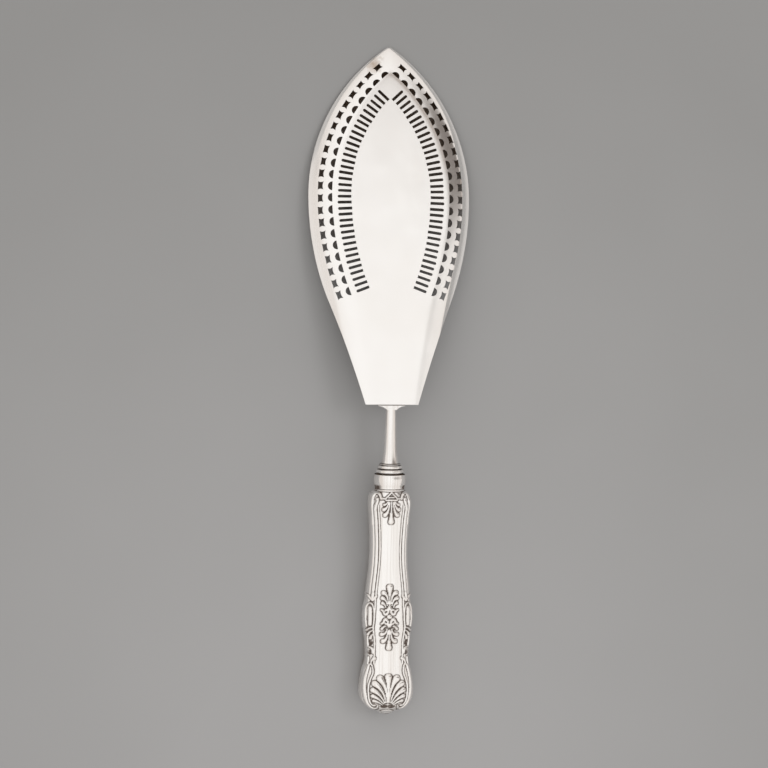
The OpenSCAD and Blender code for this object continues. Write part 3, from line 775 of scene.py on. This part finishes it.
# %% [markdown]
# The three palmettes and the shell at the end are fans of petals. The middle petal is a drop on a thin stem,
# the others bend outwards and end fat and round, so that they nearly touch and only a thin dark line is left
# between them. The two sides mirror each other, so x is the distance from the middle line in all of them.

# %% Palmettes, shell and middle ornament
MIDDLE_PETALS = [
    ((0, 12.8), (0, 17.5), (0, 22.6), 1.45, 0.3, 3.0),
    ((0, 63.6), (0, 59.5), (0, 54.9), 1.6, 0.3, 2.4),
    ((0, 75.8), (0, 80.0), (0, 84.7), 1.5, 0.3, 3.0),
    ((0, 112.0), (0, 106.0), (0, 99.2), 1.68, 0.45, 1.5),
]
TOP_PETALS = [
    ((0.9, 13.0), (1.3, 18.2), (3.05, 19.3), 1.12),
    ((1.4, 12.9), (2.1, 16.2), (3.7, 16.6), 1.0),
    ((1.9, 12.8), (2.5, 14.0), (3.5, 14.2), 0.72),
]
RISING_PETALS = [
    ((0.7, 63.0), (0.9, 58.0), (3.05, 57.6), 1.15),
    ((1.2, 63.7), (1.6, 60.6), (3.6, 60.2), 1.02),
    ((1.9, 64.6), (2.3, 62.9), (3.5, 62.6), 0.82),
]
FALLING_PETALS = [
    ((0.7, 76.2), (0.9, 81.0), (3.0, 81.5), 1.15),
    ((1.2, 75.6), (1.7, 78.2), (3.75, 78.0), 1.02),
    ((2.1, 74.0), (3.0, 74.2), (3.7, 75.3), 0.74, 0.45),
]
SHELL_PETALS = [
    ((0.7, 111.6), (0.6, 103.5), (4.1, 99.9), 1.68),
    ((1.2, 111.8), (2.2, 105.0), (6.7, 102.4), 1.5),
    ((1.7, 112.1), (3.4, 107.6), (7.6, 105.6), 1.25),
    ((2.2, 112.5), (4.2, 109.7), (7.6, 108.6), 1.02),
    ((2.7, 113.0), (4.6, 111.4), (7.0, 111.0), 0.85),
]
WAVE = [(0, 64.9), (0.7, 66.0), (1.5, 67.9), (2.4, 67.9), (3.1, 66.5), (4.0, 65.9)]
WAVE_MIRROR = 138.7
WAVE_EYE = (1.62, 66.75)
VOLUTE = [
    (8.9, 24.0), (9.0, 19.0), (9.1, 14.5), (8.7, 11.0), (7.7, 9.0), (6.5, 8.6), (5.5, 9.5), (5.0, 11.2),
]


def fan(x, s, petals):
    return highest(*[petal(x, s, *one) for one in petals])


def middle_ornament(x, s):
    """Two waves back to back round a small boss, each with a pair of sunk eyes."""
    height = boss(x, s, (0, WAVE_MIRROR / 2), 1.3, 1.15)
    for along in (s, WAVE_MIRROR - s):
        wave = line(x, along, WAVE, 1.0, 0.5)
        wave = np.maximum(wave, petal(x, along, (0, 65.2), (0.8, 66.1), (1.7, 66.3), 0.9, 0.9))
        eye = boss(x, along, WAVE_EYE, 0.48)
        height = np.maximum(height, wave * (1 - 0.9 * eye))
    return height


def shoulder_ornament(x, s):
    """A small gable between two volutes, over the top palmette."""
    fading = 1 - 0.5 * ease((s - 12) / 9)
    return highest(
        fading * line(x, s, VOLUTE, 0.7, 0.65),
        boss(x, s, (6.7, 11.6), 0.9),
        petal(x, s, (7.7, 17.0), (7.3, 13.8), (6.5, 12.2), 0.6, 0.7),
        line(x, s, [(0, 8.2), (2.9, 11.2)], 0.46),
        line(x, s, [(2.9, 11.3), (5.0, 11.2)], 0.42),
        line(x, s, [(0, 12.0), (2.7, 12.0)], 0.45),
        0.6 * line(x, s, [(0, 10.7), (1.3, 10.7)], 0.28),
        0.5 * line(x, s, [(0, 7.5), (6.2, 7.5)], 0.4),
    )


# %% [markdown]
# Along the sides run a strong and a thin thread. Halfway down they meet a small leafy bracket and give way
# to long convex ribs in a frame, then to curled leaves over deep dark hollows, and at the broad end to a
# double border that starts in an arch and turns in as two scrolls. The threads follow the edge of the
# handle, so they are drawn by their distance from it.

# %% Threads, ribs, leaves and border
SIDE_LEAVES = [
    ((7.9, 74.7), (9.6, 74.9), (10.8, 76.6), 0.6),
    ((7.7, 76.2), (9.3, 76.6), (10.1, 78.6), 0.66),
    ((7.4, 78.0), (8.5, 78.3), (8.9, 80.3), 0.72),
    ((9.9, 79.4), (10.0, 81.4), (9.6, 84.0), 0.4),
]
RIB_FRAME = [
    (7.8, 74.4), (7.45, 71), (7.45, 66.5), (8.1, 63.8), (9.3, 62.8), (10.5, 63.8), (11.2, 66.5),
    (11.2, 71), (10.8, 74.4),
]
OUTER_LEG = [
    (8.3, 92.9), (9.2, 93.6), (9.9, 95.6), (10.7, 98.5), (11.35, 102.0), (11.4, 106.0), (10.9, 109.5),
]
INNER_LEG = [
    (8.3, 92.9), (7.6, 94.4), (7.5, 97.2), (8.6, 100.2), (9.4, 103.0), (9.6, 106.0), (9.3, 109.5),
]
INNER_END = [(9.3, 109.5), (8.7, 111.7), (7.6, 113.2)]
SCROLL = [(10.9, 109.5), (10.0, 112.3), (8.5, 114.4), (6.8, 115.3), (5.3, 114.9), (4.9, 113.7)]
DARK_HOLLOWS = [((8.9, 82.5), 1.5, 1.5), ((9.1, 87.3), 1.3, 1.4), ((1.7, 113.9), 2.3, 1.15)]
STRONG_INSET, STRONG_WIDTH = 2.55, 0.74
THIN_INSET, THIN_WIDTH = 4.05, 0.42
EDGE_INSET, EDGE_WIDTH = 0.75, 0.85
LIP_INSET, LIP_WIDTH = 0.45, 0.55


def threads(x, s, half_width):
    """Threads that follow the edge, each at its own distance from it and along its own stretch."""
    inset = half_width - x
    thin_inset = THIN_INSET + 0.75 * window(s, 61, 76, 5) - 0.35 * window(s, 80, 96, 6)
    return highest(
        0.95 * window(s, 13.5, 60.3, 2.0) * dome((inset - STRONG_INSET) / STRONG_WIDTH),
        0.8 * window(s, 13.5, 93.5, 1.5) * dome((inset - thin_inset) / THIN_WIDTH),
        0.5 * window(s, 16.0, 92.5, 6.0) * dome((inset - EDGE_INSET) / EDGE_WIDTH),
    )


def side_ribs(x, s):
    rib = line(x, s, [(9.35, 65.3), (9.35, 73.2)], 0.95)
    bracket = highest(
        petal(x, s, (8.3, 60.9), (8.2, 59.4), (7.9, 57.6), 0.66, 1.0),
        petal(x, s, (7.9, 60.9), (7.4, 60.3), (6.5, 59.3), 0.58, 0.75),
        petal(x, s, (8.6, 60.9), (9.3, 60.2), (10.2, 59.1), 0.6, 0.75),
        boss(x, s, (8.2, 61.4), 0.75, 0.55),
    )
    return highest(rib, 0.75 * line(x, s, RIB_FRAME, 0.42), 0.95 * bracket)


def side_leaves(x, s):
    return highest(
        *[petal(x, s, *leaf, 0.3, 1.2) for leaf in SIDE_LEAVES],
        petal(x, s, (9.6, 84.7), (7.7, 84.6), (7.4, 87.2), 0.95, 0.5),
        petal(x, s, (8.3, 92.6), (8.2, 91.0), (6.9, 90.1), 0.95, 0.3),
        0.8 * petal(x, s, (9.8, 93.2), (9.4, 91.4), (9.5, 89.8), 0.5, 0.35),
    )


def lower_border(x, s, half_width):
    inset = half_width - x
    return highest(
        0.6 * window(s, 92.0, 116.5, 7.0) * dome((inset - LIP_INSET) / LIP_WIDTH),
        0.95 * line(x, s, OUTER_LEG, 0.45, 0.95),
        0.85 * line(x, s, INNER_LEG, 0.42),
        line(x, s, SCROLL, 0.95, 0.5),
        0.85 * line(x, s, INNER_END, 0.42),
        boss(x, s, (6.7, 113.5), 0.95, 0.62),
        boss(x, s, (0, 117.0), 3.1, 1.25),
    )


RELIEF = 0.85
THREAD_SHARE = 0.66
FANS = (MIDDLE_PETALS, TOP_PETALS, RISING_PETALS, FALLING_PETALS, SHELL_PETALS)


def relief(x, s, half_width):
    """Height of the ornament above the plain form, in millimetres."""
    x = np.abs(x)
    return RELIEF * highest(
        *[fan(x, s, petals) for petals in FANS],
        middle_ornament(x, s),
        shoulder_ornament(x, s),
        side_ribs(x, s),
        side_leaves(x, s),
        lower_border(x, s, half_width),
        THREAD_SHARE * threads(x, s, half_width),
    )


def hollows_and_neck_shade(x, s):
    """Where the ground between the leaves is deepest and darkest, and the concave neck, which is painted
    dark as shade.
    """
    x = np.abs(x)
    # Painted shade in the concave neck below the collar.
    neck = 0.8 * window(s, 4.4, 8.2, 1.2) * ease((x - 4.0) / 2.4)
    return highest(neck, *[boss(x, s, *one) for one in DARK_HOLLOWS])


print("petals in the fans:", [len(petals) for petals in FANS])

# %% [markdown]
# ## Stamping the shells
# A fine grid is laid over the oval form, and each point is pushed out along the form's normal by the relief.
# How far a point lies below its surroundings is stored with it, and more where the ground between the leaves
# is deepest: polish never reaches the bottom of such hollows, and the finish reads the number to darken
# them. The number is raised in the concave neck as well, where the darkening is painted shade.

# %% Make the two shells of the handle
SHELL_COLUMNS, SHELL_ROWS = 160, 600
BLUR_REACH = 3
FULL_DARK = 0.15
GROUND_DARK, GROUND_LIMIT = 1.3, 0.55
SEAM_MARGIN = 0.6
OVAL_POWER, SQUARER, SQUARE_FROM, SQUARE_EASE = 2, 0.6, 0.066, 0.04


def oval_point(u, v):
    """Point of the plain form and its outward direction, u across from one seam to the other, v along."""
    s = v * HANDLE_LENGTH
    half_width = np.maximum(size_at(1, v), 1e-4)
    half_height = np.maximum(size_at(2, v), 1e-4)
    power = OVAL_POWER + SQUARER * ease((v - SQUARE_FROM) / SQUARE_EASE)
    turn = u * math.pi
    c, sn = np.cos(turn), np.maximum(0, np.sin(turn))
    x = half_width * np.sign(c) * np.abs(c) ** (2 / power)
    z = half_height * sn ** (2 / power)
    way_x = np.sign(x) * np.abs(x / half_width) ** (power - 1) / half_width
    way_z = np.abs(z / half_height) ** (power - 1) / half_height
    norm = np.maximum(np.hypot(way_x, way_z), 1e-9)
    return x, s, z, way_x / norm, way_z / norm, half_width


def box_blur(field, reach):
    """Mean of each point's neighbours, within reach rows and columns."""
    width = 2 * reach + 1
    for axis in (0, 1):
        edges = [(reach + 1, reach) if a == axis else (0, 0) for a in (0, 1)]
        total = np.cumsum(np.pad(field, edges, mode="edge"), axis)
        count = total.shape[axis]
        later = np.take(total, range(width, count), axis)
        field = (later - np.take(total, range(count - width), axis)) / width
    return field


def handle_shell(name, node, up):
    """Outer skin of one half, with how deep each point lies below its surroundings as an attribute, raised
    in the neck for painted shade.
    """
    grid = {}

    def place(u, v):
        x, s, z, way_x, way_z, half_width = oval_point(u, v)
        rise = relief(x, s, half_width) * ease(z / SEAM_MARGIN)
        grid["u"], grid["v"], grid["rise"], grid["deep"] = u, v, rise, hollows_and_neck_shade(x, s)
        return np.column_stack([x + rise * way_x, -MOUTH - s, up * (z + rise * way_z)])

    piece = laid_out_grid(name, SHELL_COLUMNS, SHELL_ROWS, place)
    order = np.lexsort((np.round(grid["u"], 6), np.round(grid["v"], 6)))
    field = grid["rise"][order].reshape(SHELL_ROWS + 1, SHELL_COLUMNS + 1)
    hollow = (box_blur(field, BLUR_REACH) - field) / FULL_DARK
    # ground carries the tarnished leaf hollows and the painted shade of the neck.
    ground = grid["deep"][order].reshape(field.shape) * np.clip(1 - field / GROUND_LIMIT, 0, 1)
    values = np.empty(len(order))
    values[order] = np.clip(np.maximum(hollow, GROUND_DARK * ground), 0, 1).ravel()
    keep_with(piece, "hollow", values)
    in_edit_mode(piece, select_everything, lambda: bpy.ops.mesh.remove_doubles(threshold=0.0005))
    if up < 0:
        piece.data.flip_normals()
    place_in_row(piece, axis_to_row)
    smooth(piece, 180)
    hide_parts(node)
    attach(piece, "root")
    print(name, len(piece.data.polygons), "faces")
    return piece


front = handle_shell("handle_front_shell", "handle_front", 1)
back = handle_shell("handle_back_shell", "handle_back", -1)

# %% [markdown]
# ## The finishes
# Old silver is never one flat grey. It has a soft bloom from years of rubbing, fine scratches in several
# directions, a brown spot near the tip, and tarnish in grooves and hollows, where no cloth reaches. Shade is
# painted as well: dark on the underside of the blade, in the concave neck of the handle, in the grooves of
# the bolster and along the edge where the heel plate passes under the blade.
# All the patterns below are procedural and read object coordinates, or the numbers stored with blade and
# handle.

# %% Node helpers
def new_material(name):
    mat = bpy.data.materials.new(name)
    mat.use_nodes = True
    mat.node_tree.nodes.clear()
    return mat


def node(mat, kind, inputs=(), **settings):
    made = mat.node_tree.nodes.new(kind)
    for key, value in settings.items():
        setattr(made, key, value)
    for key, value in dict(inputs).items():
        if isinstance(value, bpy.types.NodeSocket):
            mat.node_tree.links.new(value, made.inputs[key])
        else:
            made.inputs[key].default_value = value
    return made


def object_place(mat):
    return node(mat, "ShaderNodeTexCoord").outputs["Object"]


def stored(mat, name):
    """A number that was stored with the mesh."""
    return node(mat, "ShaderNodeAttribute", attribute_name=name).outputs["Fac"]


def noise(mat, where, scale, detail=4.0, roughness=0.55):
    made = node(mat, "ShaderNodeTexNoise", {
        "Vector": where, "Scale": scale, "Detail": detail, "Roughness": roughness})
    return made.outputs["Fac"]


def ramp(mat, value, low, high, to_low=0.0, to_high=1.0):
    made = node(mat, "ShaderNodeMapRange", {
        "Value": value, "From Min": low, "From Max": high, "To Min": to_low, "To Max": to_high})
    return made.outputs["Result"]


def maths(mat, operation, first, second):
    return node(mat, "ShaderNodeMath", {0: first, 1: second}, operation=operation).outputs[0]


def mix(mat, share, first, second):
    made = node(mat, "ShaderNodeMix", {0: share, 6: first, 7: second}, data_type="RGBA")
    return made.outputs[2]


def finish(mat, **inputs):
    shader = node(mat, "ShaderNodeBsdfPrincipled", inputs)
    node(mat, "ShaderNodeOutputMaterial", {"Surface": shader.outputs[0]})


def streaks(mat, where, turn, across, along, low, high):
    """Thin marks that run one way, as a height from 0 to 1."""
    turned = node(mat, "ShaderNodeMapping", {
        "Vector": where, "Rotation": (0.0, 0.0, turn), "Scale": (across, along, along)})
    return ramp(mat, noise(mat, turned.outputs[0], 1.0, 2.0), low, high)


def vector_maths(mat, operation, first, second):
    made = node(mat, "ShaderNodeVectorMath", {0: first, 1: second}, operation=operation)
    return made.outputs["Value"]


# %% Silver
SILVER = (0.975, 0.96, 0.945, 1)
WARM_SILVER = (0.95, 0.925, 0.9, 1)
BROWN_SILVER = (0.42, 0.31, 0.22, 1)
# Brown-black of tarnish in the ornament, also used as painted shade.
TARNISH_AND_SHADE = (0.07, 0.043, 0.029, 1)
UNDERSIDE_SHADE = (0.16, 0.135, 0.115, 1)
TARNISH_PLACE = (-0.0085, 0.1565, 0.006)
SCRATCH_TURNS = (0.6, 1.7, 2.8)
SCRATCHES = {"across": 1500.0, "along": 45.0, "low": 0.64, "high": 0.74}
# Half widths of the dark lines: ring grooves hold tarnish with painted shade, the joint and the plate edge
# painted shade.
RING_GROOVE, JOINT_SHADE_LINE, PLATE_SHADE_LINE = 0.0003, 0.0005, 0.0006


def bloomed(mat, where):
    """Silver with the soft uneven bloom of much polishing."""
    bloom = ramp(mat, noise(mat, where, 26.0), 0.4, 0.78, 0.0, 0.8)
    return mix(mat, bloom, SILVER, WARM_SILVER)


def marked(mat, where):
    """A bump of fine scratches in three directions."""
    marks = 0.0
    for turn in SCRATCH_TURNS:
        marks = maths(mat, "MAXIMUM", marks, streaks(mat, where, turn, **SCRATCHES))
    waves = maths(mat, "MULTIPLY", noise(mat, where, 60.0, 1.0), 6.0)
    height = maths(mat, "ADD", marks, waves)
    return node(
        mat, "ShaderNodeBump", {"Height": height, "Strength": 0.1, "Distance": 0.00002}).outputs[0]


def sheet_silver():
    """Bright above, painted dark below as shade on the underside and the lower hole walls, with a brown spot
    near the tip and a paler worn edge.
    """
    mat = new_material("sheet_silver")
    where = object_place(mat)
    away = vector_maths(mat, "DISTANCE", where, TARNISH_PLACE)
    frayed = maths(mat, "ADD", away, maths(mat, "MULTIPLY", noise(mat, where, 260.0), 0.007))
    brown = ramp(mat, frayed, 0.0055, 0.0092, 0.8, 0.0)
    colour = mix(mat, brown, bloomed(mat, where), BROWN_SILVER)
    # Painted shade: the underside and the lower half of the hole walls are darkened.
    colour = mix(mat, ramp(mat, stored(mat, "underside"), 0.5, 0.95), colour, UNDERSIDE_SHADE)
    metal = ramp(mat, stored(mat, "worn_edge"), 0.0, 0.6, 0.88, 0.45)
    return silver_finish(mat, where, colour, metal, rough_by_place(mat, where, 0.14, 0.2))


def groove(mat, where, direction, place, half_width):
    """1 on a thin line across a direction, through a place."""
    along = vector_maths(mat, "DOT_PRODUCT", where, direction)
    away = maths(mat, "ABSOLUTE", maths(mat, "SUBTRACT", along, place.dot(direction)), 0.0)
    return ramp(mat, away, 0.3 * half_width, half_width, 1.0, 0.0)


def rough_by_place(mat, where, low, high):
    return ramp(mat, noise(mat, where, 90.0), 0.3, 0.7, low, high)


def silver_finish(mat, where, colour, metal, rough):
    finish(mat, **{
        "Base Color": colour, "Metallic": metal, "Roughness": rough, "Normal": marked(mat, where)})
    return mat


def streaked(mat, where, across, along, high, strength):
    """Silver with soft brown streaks that run along the object."""
    soft = streaks(mat, where, 0.0, across, along, 0.45, high)
    return mix(mat, maths(mat, "MULTIPLY", soft, strength), bloomed(mat, where), BROWN_SILVER)


def cast_silver():
    """Tarnish with painted shade in the grooves of the bolster, painted shade in the joint and along the
    edge where the heel plate passes under the blade.
    """
    mat = new_material("cast_silver")
    where = object_place(mat)
    axis = (axis_to_row.to_3x3() @ Vector((0, -1, 0))).normalized()
    base_way = (blade_to_row.to_3x3() @ Vector((0, 1, 0))).normalized()
    # Painted shade: a dark line where the heel plate passes under the blade.
    dark = groove(mat, where, base_way, blade_to_row @ Vector((0, 0, -SHEET)), PLATE_SHADE_LINE)
    at = STRAIGHT + FLARE
    grooves = []
    for _, height in RINGS:
        grooves.append((at, RING_GROOVE))
        at += height
    # The joint's dark line is painted shade.
    grooves.append((at + JOINT_HEIGHT / 2, JOINT_SHADE_LINE))
    for place, half_width in grooves:
        ring = groove(mat, where, axis, axis_to_row @ Vector((0, -place, 0)), half_width)
        dark = maths(mat, "MAXIMUM", dark, ring)
    dark = maths(mat, "MULTIPLY", dark, 0.9)
    colour = mix(mat, dark, streaked(mat, where, 1100.0, 22.0, 0.75, 0.3), TARNISH_AND_SHADE)
    return silver_finish(mat, where, colour, 0.9, rough_by_place(mat, where, 0.16, 0.24))


def stamped_silver():
    """Worn bright on the ridges, brown tarnish in the lines of the ornament, and painted shade in the neck.
    """
    mat = new_material("stamped_silver")
    where = object_place(mat)
    grain = ramp(mat, noise(mat, where, 800.0), 0.25, 0.75, 0.6, 1.1)
    depth = maths(mat, "MULTIPLY", stored(mat, "hollow"), grain)
    dark = ramp(mat, depth, 0.12, 0.8, 0.0, 0.95)
    colour = mix(mat, dark, streaked(mat, where, 900.0, 18.0, 0.8, 0.26), TARNISH_AND_SHADE)
    rough = ramp(mat, dark, 0.0, 0.95, 0.22, 0.6)
    metal = ramp(mat, dark, 0.0, 0.95, 0.9, 0.4)
    return silver_finish(mat, where, colour, metal, rough)


def dress(piece, mat):
    piece.data.materials.clear()
    piece.data.materials.append(mat)


dress(blade, sheet_silver())
dress(stem, cast_silver())
stamped = stamped_silver()
dress(front, stamped)
dress(back, stamped)

# %% Cement
CEMENT_DARK = (0.1, 0.06, 0.035, 1)
CEMENT_LIGHT = (0.2, 0.14, 0.09, 1)


def cement():
    mat = new_material("cement")
    where = object_place(mat)
    grain = noise(mat, where, 700.0, 6.0)
    colour = mix(mat, grain, CEMENT_DARK, CEMENT_LIGHT)
    bump = node(mat, "ShaderNodeBump", {"Height": grain, "Strength": 0.4, "Distance": 0.0003})
    finish(mat, **{"Base Color": colour, "Roughness": 0.95, "Normal": bump.outputs[0]})
    return mat


filling = frame["nodes"]["handle_filling"]
for slot in filling.material_slots:
    slot.material = cement()
print("materials:", [m.name for m in bpy.data.materials])

# %% [markdown]
# ## Floor, light and camera
# The floor is plain grey paper with a painted pool of light, lighter below the handle and darker towards its
# far corners. Where almost no sky reaches it, under the pierced blade, a browner shade is painted on it, so
# the openings look as dark as they are. A weak soft lamp from the upper right gives the object its shadow.
# The rest of the light is a world that is bright above and slightly warmer and darker towards its horizon,
# as the walls of a light room are. Silver shows nothing but its surroundings, so the two things in that room
# that it reflects, a brown rail and a dark corner, are painted on the world as well.

# %% Floor
FLOOR_DARK = (0.315, 0.317, 0.318, 1)
FLOOR_LIGHT = (0.406, 0.408, 0.414, 1)
DEEP_SHADE = (0.15, 0.1, 0.065, 1)
POOL_OF_LIGHT = (-0.02, -0.18, 0.0)
FLOOR_SIZE = 6


def floor_material():
    mat = new_material("floor_paper")
    where = object_place(mat)
    # Painted pool of light: the paper is lighter round one place by the handle's end.
    away = vector_maths(mat, "DISTANCE", where, POOL_OF_LIGHT)
    soft = maths(mat, "MULTIPLY", noise(mat, where, 9.0, 2.0), 0.1)
    share = ramp(mat, maths(mat, "ADD", away, soft), 0.12, 0.42, 1.0, 0.0)
    colour = mix(mat, share, FLOOR_DARK, FLOOR_LIGHT)
    # Painted shade: the paper turns browner where little sky reaches it, under the blade.
    open_share = node(
        mat, "ShaderNodeAmbientOcclusion", {"Distance": 0.02}, samples=8).outputs["AO"]
    colour = mix(mat, ramp(mat, open_share, 0.28, 0.46), DEEP_SHADE, colour)
    finish(mat, **{"Base Color": colour, "Roughness": 0.9, "Specular IOR Level": 0.1})
    return mat


deselect_all()
bpy.ops.mesh.primitive_plane_add(size=FLOOR_SIZE, location=(0, 0, 0))
floor = bpy.context.object
floor.name = "floor"
dress(floor, floor_material())

# %% World
SKY = [
    (0.0, (0.8, 0.75, 0.71, 1)),
    (0.35, (0.83, 0.79, 0.755, 1)),
    (0.707, (0.9, 0.87, 0.84, 1)),
    (0.95, (0.985, 0.97, 0.95, 1)),
]
BLACK, WHITE = (0, 0, 0, 1), (1, 1, 1, 1)
RAIL = (0.26, 0.2, 0.16, 1)
RAIL_WAY = (0.17, 0.985, 0.0)
RAIL_BAND = [(0.3, BLACK), (0.34, WHITE), (0.42, WHITE), (0.46, BLACK)]
RAIL_END = [(0.06, BLACK), (0.12, WHITE)]
CORNER = (0.12, 0.095, 0.08, 1)
CORNER_WAY = (0.743, 0.185, 0.643)
CORNER_BAND = [(0.89, BLACK), (0.945, WHITE)]
CORNER_END = [(0.1, BLACK), (0.2, WHITE)]
ALONG_X, ALONG_Y, UPWARDS = (1, 0, 0), (0, 1, 0), (0, 0, 1)


def world():
    studio = bpy.data.worlds.new("studio")
    studio.use_nodes = True
    studio.node_tree.nodes.clear()
    way = node(studio, "ShaderNodeTexCoord").outputs["Generated"]

    def bands(direction, stops):
        """Colours by how far a way lies towards a direction, from stops of position and colour."""
        made = node(studio, "ShaderNodeValToRGB", {0: vector_maths(studio, "DOT_PRODUCT", way, direction)})
        made.color_ramp.elements.remove(made.color_ramp.elements[1])
        for i, (position, colour) in enumerate(stops):
            stop = made.color_ramp.elements[0] if i == 0 else made.color_ramp.elements.new(position)
            stop.position, stop.color = position, colour
        return made.outputs["Color"]

    colour = bands(UPWARDS, SKY)
    rail = maths(studio, "MULTIPLY", bands(RAIL_WAY, RAIL_BAND), bands(ALONG_X, RAIL_END))
    colour = mix(studio, rail, colour, RAIL)
    corner = maths(studio, "MULTIPLY", bands(CORNER_WAY, CORNER_BAND), bands(ALONG_Y, CORNER_END))
    colour = mix(studio, corner, colour, CORNER)
    background = node(studio, "ShaderNodeBackground", {"Color": colour, "Strength": 1.0})
    node(studio, "ShaderNodeOutputWorld", {"Surface": background.outputs[0]})
    bpy.context.scene.world = studio


world()

# %% Lamp and camera
LAMP_PLACE, LAMP_SIZE, LAMP_ENERGY = (0.68, 0.2, 1.05), 0.5, 1.8
CAMERA_DISTANCE = 1.3
CAMERA_TILT = math.radians(8.5)
CAMERA_LEAN = math.radians(1.3)
CAMERA_ROLL = math.radians(0.54)
VIEW_WIDTH = 0.3771
SENSOR = 36
TARGET = Vector((-0.0026, -0.0016, 0.012))


def aimed(data, place, target):
    """An object for a lamp or camera, at a place and turned towards a target."""
    made = bpy.data.objects.new(data.name, data)
    bpy.context.collection.objects.link(made)
    made.location = place
    way = Vector(target) - Vector(place)
    made.rotation_euler = way.to_track_quat("-Z", "Y").to_euler()
    return made


lamp = aimed(bpy.data.lights.new("window", "AREA"), LAMP_PLACE, (0, 0, 0))
lamp.data.shape = "DISK"
lamp.data.size = LAMP_SIZE
lamp.data.energy = LAMP_ENERGY
lamp.visible_glossy = False

way_back = Vector((-math.tan(CAMERA_TILT), math.tan(CAMERA_LEAN), 1)).normalized()
camera = aimed(bpy.data.cameras.new("camera"), TARGET + CAMERA_DISTANCE * way_back, TARGET)
up = (Vector((0, 1, 0)) - way_back * way_back.y).normalized()
upright = Matrix((up.cross(way_back), up, way_back)).transposed()
camera.rotation_euler = (upright @ Matrix.Rotation(CAMERA_ROLL, 3, "Z")).to_euler()
camera.data.sensor_width = SENSOR
camera.data.lens = SENSOR * CAMERA_DISTANCE / VIEW_WIDTH
bpy.context.scene.camera = camera
bpy.context.scene.view_settings.view_transform = "Standard"
